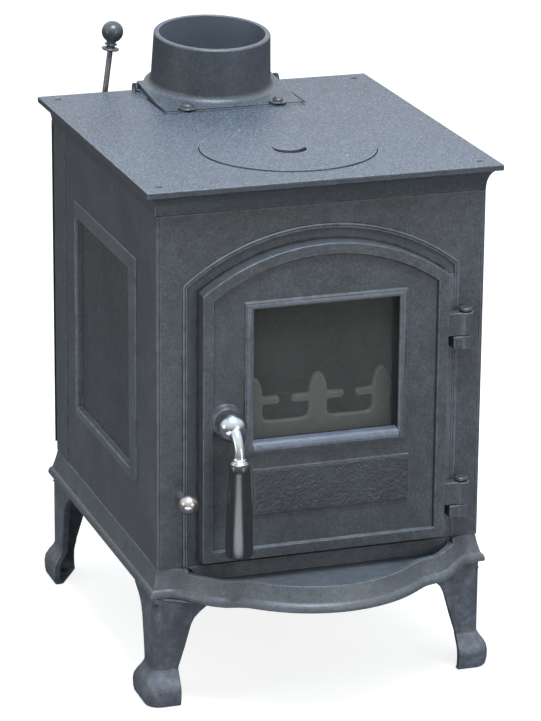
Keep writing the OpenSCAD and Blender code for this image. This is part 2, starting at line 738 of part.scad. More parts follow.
module rear_panel() {
    color(iron) difference() {
        union() {
            block([-half_w, inner_back, base_top], [half_w, back_y, wall_top]);
            for (sx = [-1, 1]) {
                block([min(sx * half_w, sx * inner_x), back_y - rear_return, base_top],
                    [max(sx * half_w, sx * inner_x), back_y, wall_top]);
                block([min(sx * half_w, sx * (half_w - post_t)), back_y - post_t, base_top],
                    [max(sx * half_w, sx * (half_w - post_t)), back_y, wall_top]);
            }
            intersection() {
                translate([0, flue_y, pocket_top - pocket_h]) cylinder(h = pocket_h, r = pocket_r, $fn = 96);
                block([-far, back_y - 1, 0], [far, far, far]);
            }
            for (x = [-post_x + 14, 0, post_x - 14])
                block([x - 4, inner_back - air_gap, brick_z + 10], [x + 4, inner_back + 1, brick_top - 10]);
            inlet_boss(0, back_y - 1, boss_y);
            for (p = shield_points) along_y(8, back_y - 1, back_y + 2, p[0], p[1]);
        }
        intersection() {
            translate([0, flue_y, pocket_top - pocket_h + wall]) cylinder(h = pocket_h, r = pocket_r - wall, $fn = 96);
            block([-far, inner_back - 1, 0], [far, far, far]);
        }
        block([-pocket_r + 2 * wall, inner_back - 1, pocket_top - pocket_h + wall],
            [pocket_r - 2 * wall, back_y + 1, wall_top + 1]);
        along_y(inlet_r, inner_back - 1, boss_y + 1, -pivot_x, pivot_z - inlet_drop);
        along_y(pivot_r, boss_y - 14, boss_y + 1, -pivot_x, pivot_z);
        for (p = shield_points) along_y(2.5, back_y - 5, back_y + 10, p[0], p[1]);
        screw_bores();
    }
}

// Places of the two bolts of each leg, as distances from the shell's outside faces
leg_bolt_a = 22;
leg_bolt_b = 46;
module leg_bolt_places() {
    for (sx = [-1, 1], e = [0, 1], k = [0, 1])
        translate([sx * (half_w - (k == 0 ? leg_bolt_a : leg_bolt_b)),
            e == 0 ? face_y + (k == 0 ? leg_bolt_b : leg_bolt_a) : back_y - (k == 0 ? leg_bolt_b : leg_bolt_a), 0])
            children();
}

module base_plate() {
    rings = [for (p = base_profile) [for (q = base_outline(p[0])) [q[0], q[1], base_low + p[1]]]];
    hollow = base_outline(lip_reach - 12);
    color(iron) difference() {
        union() {
            difference() {
                skin(rings);
                translate([0, 0, base_low - 1]) linear_extrude(shelf_z - base_t - base_low + 1) polygon(hollow);
                block([-half_w + 3, face_y + wall, base_low - 1], [half_w - 3, back_y - 3, base_top - base_t]);
            }
            leg_bolt_places() translate([0, 0, base_low]) cylinder(h = base_top - base_low - 1, r = 12);
            for (x = [-0.3, 0, 0.3]) translate([x * pan_w, 0, 0])
                block([-4, inner_front + 12, base_top - 1], [4, inner_back - 60, pan_z]);
        }
        translate([0, 0, shelf_z]) linear_extrude(far) polygon(concat([[-shelf_half, face_y - 2]],
            [for (p = lip_curve(-4.5)) if (abs(p[0]) <= shelf_half && p[1] < face_y - 2) p],
            [[shelf_half, face_y - 2]]));
        block([-shelf_half - 4, face_y - far, base_top - rim_drop], [shelf_half + 4, face_y - 2, base_top + 1]);
        leg_bolt_places() translate([0, 0, base_low - 1]) cylinder(h = base_h, r = leg_bolt_r + 0.2);
    }
}

// Ring of a leg: outer corner at the origin, wings along +X and +Y
function leg_ring(spread, front, side) = let (o = spread * foot_flare, t = leg_t, r = leg_round + spread * 9,
        e = max(1.5, 5 - spread * 3))
    concat([[front, -o], [r - o, -o]],
        [for (i = [1 : 7]) let (a = 90 * i / 8) [r - o - r * sin(a), r - o - r * cos(a)]],
        [[-o, r - o], [-o, side], [t - o, side], [t - o, t - o + e],
            [t - o + e * 0.3, t - o + e * 0.3], [t - o + e, t - o], [front, t - o]]);
leg_out = side_reach - leg_inset;
module leg(sx, rear) {
    x = half_w + leg_out;
    levels = concat([for (l = foot_levels) [l[0] * ankle_h, l[1], l[2], l[3]]],
        [for (l = stem_levels) [ankle_h + l[0] * (leg_top - ankle_h), l[1], l[2], l[3]]]);
    rings = [for (l = levels) [for (p = leg_ring(l[1], wing_front + l[2] * wing_flare,
        wing_side + l[3] * wing_flare + l[1] * foot_flare * 0.5)) [p[0], p[1], l[0]]]];
    color(iron) translate([sx * x, rear ? back_y + leg_out + 2 : face_y - leg_out - 2, 0])
        mirror([sx > 0 ? 1 : 0, 0, 0]) mirror([0, rear ? 1 : 0, 0]) difference() {
            union() {
                skin([for (r = rings) [for (i = [len(r) - 1 : -1 : 0]) r[i]]]);
                translate([2, 2, leg_top - 8]) linear_extrude(10)
                    polygon([[0, 0], [wing_front + wing_flare - 3, 0], [wing_front + wing_flare - 3, 17],
                        [18, wing_side + wing_flare - 12], [0, wing_side + wing_flare - 12]]);
            }
            block([-far, -far, leg_top], [far, far, leg_top + far]);
            for (k = [0, 1]) translate([leg_out + (k == 0 ? leg_bolt_a : leg_bolt_b),
                leg_out + 2 + (k == 0 ? leg_bolt_b : leg_bolt_a), leg_top - 20])
                cylinder(h = 40, r = leg_bolt_r + 0.2);
        }
}
module leg_front_left() { leg(-1, false); }
module leg_front_right() { leg(1, false); }
module leg_rear_left() { leg(-1, true); }
module leg_rear_right() { leg(1, true); }

module leg_bolts() {
    color(steel) leg_bolt_places() {
        translate([0, 0, leg_top - 8 - 5.3]) cylinder(h = 5.3, r = 7.5, $fn = 6);
        translate([0, 0, leg_top - 9]) cylinder(h = base_top - 4 - (leg_top - 9), r = leg_bolt_r);
    }
}

module rear_heat_shield() {
    y = back_y + shield_gap;
    notch = tongue_r + 4;
    color(iron_dark) difference() {
        block([-half_w + shield_in, y, base_top + shield_up], [half_w - shield_in, y + shield_t, wall_top]);
        block([-notch, y - 1, plate_under - pocket_h - 14], [notch, y + shield_t + 1, wall_top + 1]);
        inlet_boss(3, y - 1, y + shield_t + 1);
        for (p = shield_points) along_y(2.8, y - 1, y + 5, p[0], p[1]);
    }
}
module shield_spacers() {
    color(steel) for (p = shield_points) difference() {
        along_y(6, back_y + 2, back_y + shield_gap, p[0], p[1]);
        along_y(2.8, back_y + 1, back_y + shield_gap + 1, p[0], p[1]);
    }
}
module shield_screws() {
    y = back_y + shield_gap + shield_t;
    color(steel) for (p = shield_points) {
        along_y(5, y, y + 2.8, p[0], p[1], 3.2);
        along_y(2.4, back_y - 4, y + 1, p[0], p[1]);
    }
}

post_x = half_w - post_t - 0.6;
module side_brick(s) {
    x0 = inner_x - 0.5 - brick_t;
    color(brick) block([s < 0 ? -x0 - brick_t : x0, inner_front + 45, brick_z],
        [s < 0 ? -x0 : x0 + brick_t, rear_brick_y - 0.5, brick_top]);
}
module brick_left() { side_brick(-1); }
module brick_right() { side_brick(1); }
module brick_rear() {
    color(brick) block([-post_x, rear_brick_y, brick_z], [post_x, rear_brick_y + brick_t, brick_top]);
}
module baffle_plate() {
    color(iron_dark) difference() {
        block([-post_x, inner_front + baffle_front, brick_top], [post_x, inner_back - air_gap, brick_top + baffle_t]);
        for (sx = [-1, 1]) translate([sx * 70, inner_back - 40, brick_top - 1]) cylinder(h = baffle_t + 2, r = 7);
    }
}

grate_slots = 9;
module grate_openings(width, length, z0, z1) {
    pitch = length / grate_slots;
    for (i = [0 : grate_slots - 1]) translate([0, -length / 2 + pitch * (i + 0.5), 0])
        for (sx = [-1, 1]) translate([sx * width / 4, 0, 0])
            block([-width / 4 + 6, -pitch / 2 + 6, z0], [width / 4 - 6, pitch / 2 - 6, z1]);
}
module grate_frame() {
    mid = riddle_y0 + riddle_l / 2;
    rib = 8;
    color(iron_dark) union() {
        difference() {
            block([-inner_x + 0.6, inner_front + 0.5, grate_z], [inner_x - 0.6, inner_back - 0.5, grate_top]);
            translate([0, mid, 0]) grate_openings(riddle_w * 0.7, riddle_l * 0.86, grate_z - 1, grate_top + 1);
            for (sx = [-1, 1], y = [inner_front, inner_back - post_t])
                block([sx * inner_x - post_t, y - 2, grate_z - 1], [sx * inner_x + post_t, y + post_t + 8, grate_top + 1]);
        }
        for (sx = [-1, 1]) block([min(sx * (inner_x - 1), sx * (inner_x - 1 - rib)), inner_front + 45, grate_top - 1],
            [max(sx * (inner_x - 1), sx * (inner_x - 1 - rib)), rear_brick_y - 0.5, brick_z]);
        block([-inner_x + 30, rear_brick_y, grate_top - 1], [inner_x - 30, rear_brick_y + rib, brick_z]);
    }
}
module riddling_grate() {
    lug_y = riddle_y0 + 12;
    color(iron_dark) difference() {
        union() {
            block([-riddle_w / 2, riddle_y0, grate_top], [riddle_w / 2, riddle_y0 + riddle_l, grate_top + riddle_t]);
            block([-rod_x - 5.5, riddle_y0, grate_top], [-riddle_w / 2 + 1, lug_y, grate_top + 13]);
        }
        translate([0, riddle_y0 + riddle_l / 2, 0])
            grate_openings(riddle_w * 0.78, riddle_l * 0.86, grate_top - 1, grate_top + riddle_t + 1);
        along_y(rod_r, riddle_y0 - 1, lug_y + 1, -rod_x, rod_z);
    }
}
module riddling_rod() {
    color(steel) along_y(rod_r, knob_y + knob_r * 0.6, riddle_y0 + 12, -rod_x, rod_z);
}
module riddling_knob() {
    color(chrome) difference() {
        union() {
            translate([-rod_x, knob_y, rod_z]) rotate([-90, 0, 0]) sphere(knob_r);
            along_y(6, knob_y + knob_r - 2.5, knob_y + knob_r + 3, -rod_x, rod_z, 5);
        }
        along_y(rod_r, knob_y + knob_r * 0.6, knob_y + knob_r + 4, -rod_x, rod_z);
    }
}

module finger_2d() {
    top = guard_top;
    polygon(concat([[-10.5, -4], [10.5, -4], [10.5, top * 0.5]],
        [for (i = [1 : 11]) let (a = 180 * i / 12) [10.5 * cos(a), top * 0.5 + top * 0.5 * sin(a)]],
        [[-10.5, top * 0.5]]));
    for (sx = [-1, 1]) {
        translate([sx * 18, guard_top * 0.46]) square([18, guard_top * 0.16], center = true);
        translate([sx * 26, guard_top * 0.46]) circle(guard_top * 0.08);
        translate([sx * 10, -1]) difference() {
            translate([-9, -1]) square([18, 10]);
            translate([sx * 9, 9]) circle(8.5);
        }
    }
}
guard_half = -spindle_x - guard_side;
guard_pitch = guard_half - 28;
module log_guard() {
    y0 = inner_front + 8;
    color(iron_dark) translate([0, y0 + guard_t, grate_top]) rotate([90, 0, 0]) linear_extrude(guard_t) union() {
        translate([-guard_half, 0]) square([2 * guard_half, guard_bar]);
        for (i = [-1 : 1]) translate([guard_x + i * guard_pitch, guard_bar]) finger_2d();
    }
}

module ash_pan() {
    y0 = inner_front + 8;
    y1 = inner_back - 62;
    color(iron_dark) union() {
        difference() {
            block([-pan_w / 2, y0, pan_z], [pan_w / 2, y1, pan_z + pan_h]);
            block([-pan_w / 2 + pan_t, y0 + pan_t, pan_z + pan_t], [pan_w / 2 - pan_t, y1 - pan_t, pan_z + pan_h + 1]);
        }
        difference() {
            block([-30, y0 - 16, pan_z + pan_h - 14], [30, y0 + 0.5, pan_z + pan_h - 2]);
            block([-28, y0 - 14, pan_z + pan_h - 15], [28, y0 - 1.5, pan_z + pan_h - 1]);
        }
    }
}

clip_places = [for (sx = [-1, 1], sz = [-1, 1]) [sx * clip_x, sz]];
function clip_z(s) = s < 0 ? window_z - glass_lap - clip_out : window_z + window_h + glass_lap + clip_out;

// Flare of the window opening: wide at the front of the moulding, tight behind the field
module window_flare() {
    y0 = door_field - mould_h - 1;
    y1 = door_inner - 2;
    a = window_w / 2 + mould_w - rim_w;
    b = window_w / 2;
    low = window_z - mould_sill + rim_w;
    high = window_z + window_h + mould_w - 2 - rim_w;
    intersection() {
        linear_extrude(far) polygon([[-a, y0], [a, y0], [b, y1], [-b, y1]]);
        rotate([90, 0, 90]) translate([0, 0, -far / 2]) linear_extrude(far)
            polygon([[y0, low], [y1, window_z], [y1, window_z + window_h], [y0, high]]);
    }
}

module door() {
    plaque_z = door_z + plaque_sill;
    win = window_w / 2;
    color(iron) difference() {
        union() {
            difference() {
                arch_plate(0, door_z, door_face, door_back);
                arch_plate(border_w, door_z + border_w, door_face - 1, door_field);
                arch_plate(border_w, door_z + border_w, door_inner, door_back + 1);
            }
            block([-win - mould_w, door_field - mould_h, window_z - mould_sill],
                [win + mould_w, door_field + 1, window_z + window_h + mould_w - 2]);
            block([plaque_x - plaque_w / 2, door_field - plaque_t, plaque_z],
                [plaque_x + plaque_w / 2, door_field + 1, plaque_z + plaque_h]);
            along_y(boss_r - 3, door_field - boss_h, door_field + 1, spindle_x, spindle_z, boss_r);
            along_y(12, door_inner - 1, door_back, spindle_x, spindle_z);
            for (p = clip_places) along_y(clip_boss_r, door_inner - 1, glass_y + glass_t, p[0], clip_z(p[1]));
            for (z = [hinge_upper, hinge_lower]) {
                translate([hinge_x, hinge_y, door_z + z]) cylinder(h = door_lug_h, r = knuckle_r);
                block([door_half - 2, door_face + 4, door_z + z],
                    [hinge_x, face_y - bead_h - 1, door_z + z + door_lug_h]);
            }
        }
        block([-win, door_face - 5, window_z], [win, door_back + 1, window_z + window_h]);
        window_flare();
        along_y(spindle_r + spindle_gap, door_field - boss_h - 1, door_back + 1, spindle_x, spindle_z);
        for (p = clip_places) along_y(clip_r, door_inner - 3, door_back + 1, p[0], clip_z(p[1]));
        for (z = [hinge_upper, hinge_lower]) translate([hinge_x, hinge_y, door_z + z - 1])
            cylinder(h = door_lug_h + 2, r = pin_r + pin_gap);
    }
}
module pane(grow, y0, y1) {
    win = window_w / 2;
    block([-win - grow, y0, window_z - grow], [win + grow, y1, window_z + window_h + grow]);
}
module door_glass() {
    color([0.15, 0.14, 0.13, 0.6]) pane(glass_lap, glass_y, glass_y + glass_t);
}
module glass_gasket() {
    color([0.85, 0.84, 0.8]) difference() {
        pane(glass_lap, door_inner, glass_y);
        pane(3, door_inner - 1, glass_y + 1);
    }
}
module glass_clips() {
    y = glass_y + glass_t;
    color(steel) for (p = clip_places) difference() {
        block([p[0] - 8, y, clip_z(p[1]) - (p[1] < 0 ? 6 : clip_out + 8)],
            [p[0] + 8, y + clip_t, clip_z(p[1]) + (p[1] < 0 ? clip_out + 8 : 6)]);
        along_y(clip_r + 0.3, y - 1, y + clip_t + 1, p[0], clip_z(p[1]));
    }
}
module clip_screws() {
    y = glass_y + glass_t + clip_t;
    color(steel) for (p = clip_places) {
        along_y(4, y, y + 2.4, p[0], clip_z(p[1]), 2.6);
        along_y(clip_r, door_inner - 2, y + 1, p[0], clip_z(p[1]));
    }
}
module door_rope() {
    color([0.8, 0.79, 0.75]) difference() {
        arch_plate(2, door_z + 2, door_back, face_y - rest_gap);
        arch_plate(8, door_z + 8, door_back - 1, face_y);
    }
}

module hinge_pin(z) {
    low = door_z + z - lug_gap - frame_lug_h;
    top = door_z + z + door_lug_h + lug_gap;
    color(steel) translate([hinge_x, hinge_y, 0]) {
        translate([0, 0, low]) cylinder(h = top - low, r = pin_r);
        translate([0, 0, top]) intersection() {
            cylinder(h = 5, r = pin_head_r);
            translate([0, 0, -3]) sphere(pin_head_r + 1.2);
        }
    }
}
module hinge_pin_upper() { hinge_pin(hinge_upper); }
module hinge_pin_lower() { hinge_pin(hinge_lower); }

module handle_spindle() {
    color(steel) along_y(spindle_r, ball_y + ball_r * 0.5, tongue_y + tongue_t + nut_t + 1, spindle_x, spindle_z);
}
module handle_crank() {
    color(chrome) difference() {
        union() {
            translate([spindle_x, ball_y, spindle_z]) rotate([-90, 0, 0]) sphere(ball_r);
            along_y(9, ball_y + ball_r - 3.5, door_field - boss_h - rest_gap, spindle_x, spindle_z, 10);
            translate([spindle_x, ball_y, spindle_z - neck_bend]) rotate([0, 0, 90]) rotate([90, 0, 0])
                rotate([0, 0, 90]) rotate_extrude(angle = 90) translate([neck_bend, 0]) circle(neck_r);
            translate([spindle_x, grip_y, ferrule_z - 1.5]) cylinder(h = 6, r1 = neck_r + 1.6, r2 = neck_r);
        }
        along_y(spindle_r, ball_y + ball_r * 0.5, ball_y + ball_r + 10, spindle_x, spindle_z);
    }
}
module handle_ferrule() {
    color(chrome) translate([spindle_x, grip_y, ferrule_z - 1.5 - ferrule_h]) rotate_extrude()
        polygon([[0, 0], [ferrule_r - 1, 0], [ferrule_r, 1.5], [ferrule_r, ferrule_h - 2.5],
            [ferrule_r - 1.5, ferrule_h - 0.8], [neck_r + 1.6, ferrule_h], [0, ferrule_h]]);
}
module handle_grip() {
    color([0.05, 0.05, 0.06]) translate([spindle_x, grip_y, ferrule_z - 1.5 - ferrule_h - grip_l])
        rotate_extrude() polygon([[0, 0], [grip_end_r - 3.5, 0.2], [grip_end_r - 1.2, 1.6], [grip_end_r, 5],
            [grip_end_r, 22], [grip_end_r - 0.8, grip_l * 0.45], [grip_top_r + 0.7, grip_l * 0.8],
            [grip_top_r, grip_l - 2], [grip_top_r - 1, grip_l], [0, grip_l]]);
}
module latch_tongue() {
    color(steel) difference() {
        union() {
            along_y(tongue_hub, tongue_y, tongue_y + tongue_t, spindle_x, spindle_z);
            block([spindle_x - tongue_l, tongue_y, spindle_z - 6], [spindle_x, tongue_y + tongue_t, spindle_z + 6]);
        }
        along_y(spindle_r, tongue_y - 1, tongue_y + tongue_t + 1, spindle_x, spindle_z);
    }
}
module latch_nut() {
    y = tongue_y + tongue_t;
    color(steel) difference() {
        translate([spindle_x, y, spindle_z]) rotate([-90, 0, 0]) cylinder(h = nut_t, r = 9, $fn = 6);
        along_y(spindle_r, y - 1, y + nut_t + 1, spindle_x, spindle_z);
    }
}
keeper_x = spindle_x - notch_edge;
module keeper_places() {
    for (sz = [-1, 1]) translate([keeper_x - 9, inner_front, spindle_z + sz * 16]) children();
}
module latch_keeper() {
    color(steel) difference() {
        union() {
            block([keeper_x - 16, inner_front, spindle_z - 24], [keeper_x - 1, inner_front + 2.5, spindle_z + 24]);
            block([keeper_x - 4, inner_front, spindle_z - 12], [keeper_x - 1, inner_front + 8, spindle_z + 12]);
        }
        keeper_places() rotate([-90, 0, 0]) translate([0, 0, -1]) cylinder(h = 6, r = 2.2);
    }
}
module keeper_screws() {
    color(steel) keeper_places() rotate([-90, 0, 0]) {
        translate([0, 0, 2.5]) cylinder(h = 2.2, r1 = 4, r2 = 2.6);
        translate([0, 0, -wall + 3]) cylinder(h = wall, r = 2);
    }
}

module at_pivot() {
    translate([-pivot_x, 0, pivot_z]) rotate([0, lever_lean, 0]) children();
}
module air_shutter() {
    y0 = shutter_y;
    y1 = shutter_y + shutter_t;
    color(iron_dark) at_pivot() difference() {
        union() {
            along_y(shutter_r, y0, y1, 0, -inlet_drop);
            along_y(hub_r, y0, y1, 0, 0);
            block([-8, y0, -inlet_drop], [8, y1, 0]);
            block([-5.5, y0, 0], [5.5, lever_y + lever_r, 30]);
        }
        along_y(pivot_r + pivot_gap, y0 - 1, lever_y + 10, 0, 0);
        translate([0, lever_y, 12]) cylinder(h = 30, r = lever_r);
        block([-12, y1, -1], [12, lever_y + 10, 9]);
    }
}
module lever_rod() {
    color(steel) at_pivot() translate([0, lever_y, 12]) cylinder(h = lever_l - 12 - lever_knob_r * 0.6, r = lever_r);
}
module lever_knob() {
    low = -lever_knob_r;
    color(iron) at_pivot() translate([0, lever_y, lever_l]) difference() {
        rotate_extrude() polygon(concat([[0, low - 10], [3.6, low - 10], [9.2, low - 9.2], [10.3, low - 7.6],
            [9.2, low - 6.2], [5.4, low - 5], [7, low - 3.4], [7, low - 1.6], [5.2, low + 0.6]],
            [for (i = [2 : 15]) let (a = -90 + 180 * i / 16) [lever_knob_r * cos(a), lever_knob_r * sin(a)]],
            [[0, lever_knob_r]]));
        translate([0, 0, low - 11]) cylinder(h = 11 + lever_knob_r * 0.4, r = lever_r);
    }
}
module shutter_bolt() {
    y = shutter_y + shutter_t + rest_gap;
    color(steel) {
        along_y(pivot_r, boss_y - 13, y + 3, -pivot_x, pivot_z);
        along_y(7, y, y + 3, -pivot_x, pivot_z);
        along_y(7, y + 3 - eps, y + 5, -pivot_x, pivot_z, 5);
    }
}

top_plate();
hotplate_lid();
flue_collar();
flue_bolts();
corner_screws();
front_frame();
left_side_panel();
right_side_panel();
rear_panel();
base_plate();
leg_front_left();
leg_front_right();
leg_rear_left();
leg_rear_right();
leg_bolts();
rear_heat_shield();
shield_spacers();
shield_screws();
brick_left();
brick_right();
brick_rear();
baffle_plate();
grate_frame();
riddling_grate();
riddling_rod();
riddling_knob();
log_guard();
ash_pan();
door();
door_glass();
glass_gasket();
glass_clips();
clip_screws();
door_rope();
hinge_pin_upper();
hinge_pin_lower();
handle_spindle();
handle_crank();
handle_ferrule();
handle_grip();
latch_tongue();
latch_nut();
latch_keeper();
keeper_screws();
air_shutter();
lever_rod();
lever_knob();
shutter_bolt();
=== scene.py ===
import json
import math

import bmesh
import bpy
from mathutils import Matrix, Vector


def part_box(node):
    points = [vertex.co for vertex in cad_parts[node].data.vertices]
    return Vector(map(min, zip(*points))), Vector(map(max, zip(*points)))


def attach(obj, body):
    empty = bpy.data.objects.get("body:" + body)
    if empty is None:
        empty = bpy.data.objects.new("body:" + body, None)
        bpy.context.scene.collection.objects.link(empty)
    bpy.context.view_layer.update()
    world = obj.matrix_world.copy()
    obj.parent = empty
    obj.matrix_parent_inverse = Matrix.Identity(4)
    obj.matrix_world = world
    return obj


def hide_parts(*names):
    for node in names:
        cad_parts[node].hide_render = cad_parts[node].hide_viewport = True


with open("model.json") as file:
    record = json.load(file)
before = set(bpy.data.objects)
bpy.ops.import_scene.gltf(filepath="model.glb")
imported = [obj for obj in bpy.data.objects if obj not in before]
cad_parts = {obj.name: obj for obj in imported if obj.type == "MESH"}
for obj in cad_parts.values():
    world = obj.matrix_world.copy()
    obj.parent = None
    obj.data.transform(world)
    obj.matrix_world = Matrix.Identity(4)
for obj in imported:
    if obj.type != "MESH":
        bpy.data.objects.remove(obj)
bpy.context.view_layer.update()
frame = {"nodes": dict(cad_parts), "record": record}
parts = frame["nodes"]
mm = 0.001
print("frame loaded:", len(parts), "nodes")


# graphs of nodes, for finishes and for shapes

class Wire:
    # a value in a graph; operators on it add Math nodes
    def __init__(self, graph, socket):
        self.graph = graph
        self.socket = socket

    def maths(self, operation, *others):
        values = dict(enumerate((self,) + others))
        return self.graph.add("ShaderNodeMath", {"operation": operation}, values)

    def __add__(self, other):
        return self.maths("ADD", other)

    def __mul__(self, other):
        return self.maths("MULTIPLY", other)

    def __sub__(self, other):
        return self.maths("SUBTRACT", other)

    def __rsub__(self, other):
        return (self * -1) + other

    def __truediv__(self, other):
        return self.maths("DIVIDE", other)

    def __pow__(self, other):
        return self.maths("POWER", other)

    __radd__, __rmul__ = __add__, __mul__

    def clamped(self):
        return self.maths("MINIMUM", 1).maths("MAXIMUM", 0)


class Graph:
    def __init__(self, tree):
        self.tree = tree

    def plug(self, socket, value):
        if isinstance(value, Wire):
            self.tree.links.new(value.socket, socket)
        elif value is not None:
            socket.default_value = value

    def add(self, kind, settings=None, values=None, output=0):
        node = self.tree.nodes.new(kind)
        for key, setting in (settings or {}).items():
            setattr(node, key, setting)
        for key, value in (values or {}).items():
            self.plug(node.inputs[key], value)
        return Wire(self, node.outputs[output]) if node.outputs else None

    def split(self, vector):
        node = self.tree.nodes.new("ShaderNodeSeparateXYZ")
        self.plug(node.inputs[0], vector)
        return [Wire(self, output) for output in node.outputs]

    def rays(self, *kinds):
        # 1 for each kind of light ray that is named
        node = self.tree.nodes.new("ShaderNodeLightPath")
        return [Wire(self, node.outputs[kind]) for kind in kinds]

    def blend(self, share, first, second):
        values = {0: share, 6: first, 7: second}
        return self.add("ShaderNodeMix", {"data_type": "RGBA"}, values, output=2)

    def between(self, value, low, high):
        # 0 at low, 1 at high, held at both ends
        values = {"Value": value, "From Min": low, "From Max": high}
        return self.add("ShaderNodeMapRange", {"clamp": True}, values)


class Finish(Graph):
    # one material, with the patterns that the stove's surfaces share
    def __init__(self, name, mapScale=(1, 1, 1)):
        self.material = bpy.data.materials.new(name)
        self.material.use_nodes = True
        super().__init__(self.material.node_tree)
        self.tree.nodes.clear()
        place = self.add("ShaderNodeTexCoord", output="Object")
        self.place = self.add("ShaderNodeMapping", values={"Vector": place, "Scale": mapScale})

    def noise(self, scale, detail, roughness, distortion=0):
        values = {"Vector": self.place, "Scale": scale, "Detail": detail, "Roughness": roughness,
                  "Distortion": distortion}
        return self.add("ShaderNodeTexNoise", values=values)

    def cells(self, scale):
        return self.add("ShaderNodeTexVoronoi", values={"Vector": self.place, "Scale": scale})

    def edges(self, radius, turned=0.16):
        # 1 along sharp edges, from how far a rounded normal leaves the true one
        soft = self.add("ShaderNodeBevel", {"samples": 4}, {"Radius": radius})
        true = self.add("ShaderNodeNewGeometry", output="Normal")
        both = {0: soft, 1: true}
        facing = self.add("ShaderNodeVectorMath", {"operation": "DOT_PRODUCT"}, both, output="Value")
        return self.between(1 - facing, 0.0, turned)

    def bump(self, height, distance, strength=1.0, normal=None):
        values = {"Height": height, "Distance": distance, "Strength": strength, "Normal": normal}
        return self.add("ShaderNodeBump", values=values)

    def close(self, surface):
        self.add("ShaderNodeOutputMaterial", values={"Surface": surface})
        return self.material

    def shade(self, values):
        return self.close(self.add("ShaderNodeBsdfPrincipled", values=values))


def grey(red, green, blue):
    return (red, green, blue, 1.0)


# finishes

castLook = {
    "deep": (0.036, 0.039, 0.043),  # colours of the skin, from its hollows to its rounded edges; the edge colour is partly wear and partly painted highlight
    "mid": (0.066, 0.071, 0.079),
    "pale": (0.112, 0.121, 0.138),
    "edge": (0.23, 0.25, 0.29),
    "edgeShare": 0.8,
    "rubWidth": 2.2 * mm,
    "grainScale": 430,
    "grainDepth": 0.22 * mm,
    "grainShare": 0.5,  # the rest of the colour's change is clouds and blotches
    "grainRange": (0.34, 0.66),
    "cloudScale": 14,
    "swell": 0.35 * mm,
    "speckle": 0.0,  # scale of the coarse pips on flat tops, 0 for none
    "sideShade": 0.7,  # how dark a speckled casting is painted where it doesn't lie flat: painted shade
    "bore": None,  # middle of the flue's foot, and the radii between which the painted light inside begins
    "roughness": 0.42,
    "roughnessSpread": 0.16,
    "dust": 0.0,  # size of the dust specks, in cells, 0 for none
    "dustScale": 46,
    "dustFade": 0.006,
    "dustColour": grey(0.75, 0.76, 0.74),
    "specular": 0.62,
}
flueLean = math.radians(5.4)  # forward


def castIron(name, **changes):
    look = dict(castLook, **changes)
    deep, mid, pale, edge = [grey(*look[tone]) for tone in ("deep", "mid", "pale", "edge")]
    finish = Finish(name)
    grain = finish.noise(look["grainScale"], 3, 0.65)
    pits = finish.cells(look["grainScale"] * 0.8)
    clouds = finish.noise(look["cloudScale"], 5, 0.6)
    blotches = finish.noise(look["cloudScale"] * 7, 3, 0.55)
    share = look["grainShare"]
    mixed = grain * share + clouds * (0.56 * (1 - share)) + blotches * (0.44 * (1 - share))
    tone = finish.between(mixed, *look["grainRange"])
    dark = finish.blend(finish.between(tone, 0, 0.5), deep, mid)
    colour = finish.blend(finish.between(tone, 0.5, 1.0), dark, pale)
    if look["speckle"]:
        # coarse pits and grains, painted only where the casting lies flat and the light from above would show
        # them
        up = finish.split(finish.add("ShaderNodeNewGeometry", output="Normal"))[2]
        flat = finish.between(up, 0.6, 0.95)
        pips = finish.noise(look["speckle"], 2, 0.6)
        colour = finish.blend(finish.between(pips, 0.56, 0.70) * flat, colour, pale)
        colour = finish.blend(finish.between(pips, 0.46, 0.34) * flat, colour, deep)
        # painted shade where the casting doesn't lie flat
        colour = finish.blend((1 - flat) * look["sideShade"], colour, grey(*castLook["deep"]))
    if look["bore"]:
        # painted light: paler inside the flue, which leans forward as it rises
        foot, inner, outer = look["bore"]
        x, y, z = finish.split(finish.place)
        across = y + (z - foot[2]) * math.tan(flueLean) - foot[1]
        away = (x * x + across * across) ** 0.5
        colour = finish.blend(finish.between(away, outer, inner), colour, pale)
    # rounded edges turn paler: partly wear, partly painted highlight
    rubbedAndHighlit = finish.edges(look["rubWidth"]) * finish.between(blotches, 0.3, 0.6) * look["edgeShare"]
    colour = finish.blend(rubbedAndHighlit, colour, edge)
    if look["dust"]:
        cells = finish.cells(look["dustScale"])
        specks = finish.between(cells, look["dust"] + look["dustFade"], look["dust"])
        colour = finish.blend(specks * 0.8, colour, look["dustColour"])
    height = grain * 0.6 + finish.between(pits, 0.0, 0.5) * 0.4
    swell = finish.bump(blotches, look["swell"], 0.5)
    spread = look["roughnessSpread"]
    values = {
        "Base Color": colour,
        "Roughness": finish.between(grain, 0.2, 0.8) * spread + (look["roughness"] - spread / 2),
        "Metallic": 0.0,
        "Specular IOR Level": look["specular"],
        "Normal": finish.bump(height, look["grainDepth"], 1.0, swell),
    }
    return finish.shade(values)


def brightMetal(name, colour, roughness, scratch=0.0):
    # polished or brushed metal with a few smudges
    finish = Finish(name)
    marks = finish.noise(420, 4, 0.7)
    smudge = finish.noise(90, 3, 0.5)
    tint = tuple(0.72 * c for c in colour[:3]) + (1.0,)
    values = {
        "Base Color": finish.blend(finish.between(smudge, 0.35, 0.75) * 0.4, colour, tint),
        "Metallic": 1.0,
        "Roughness": finish.between(smudge, 0.3, 0.7) * 0.08 + marks * scratch + roughness,
        "Normal": finish.bump(marks, 0.02 * mm + scratch * 0.1 * mm, 0.4),
    }
    return finish.shade(values)


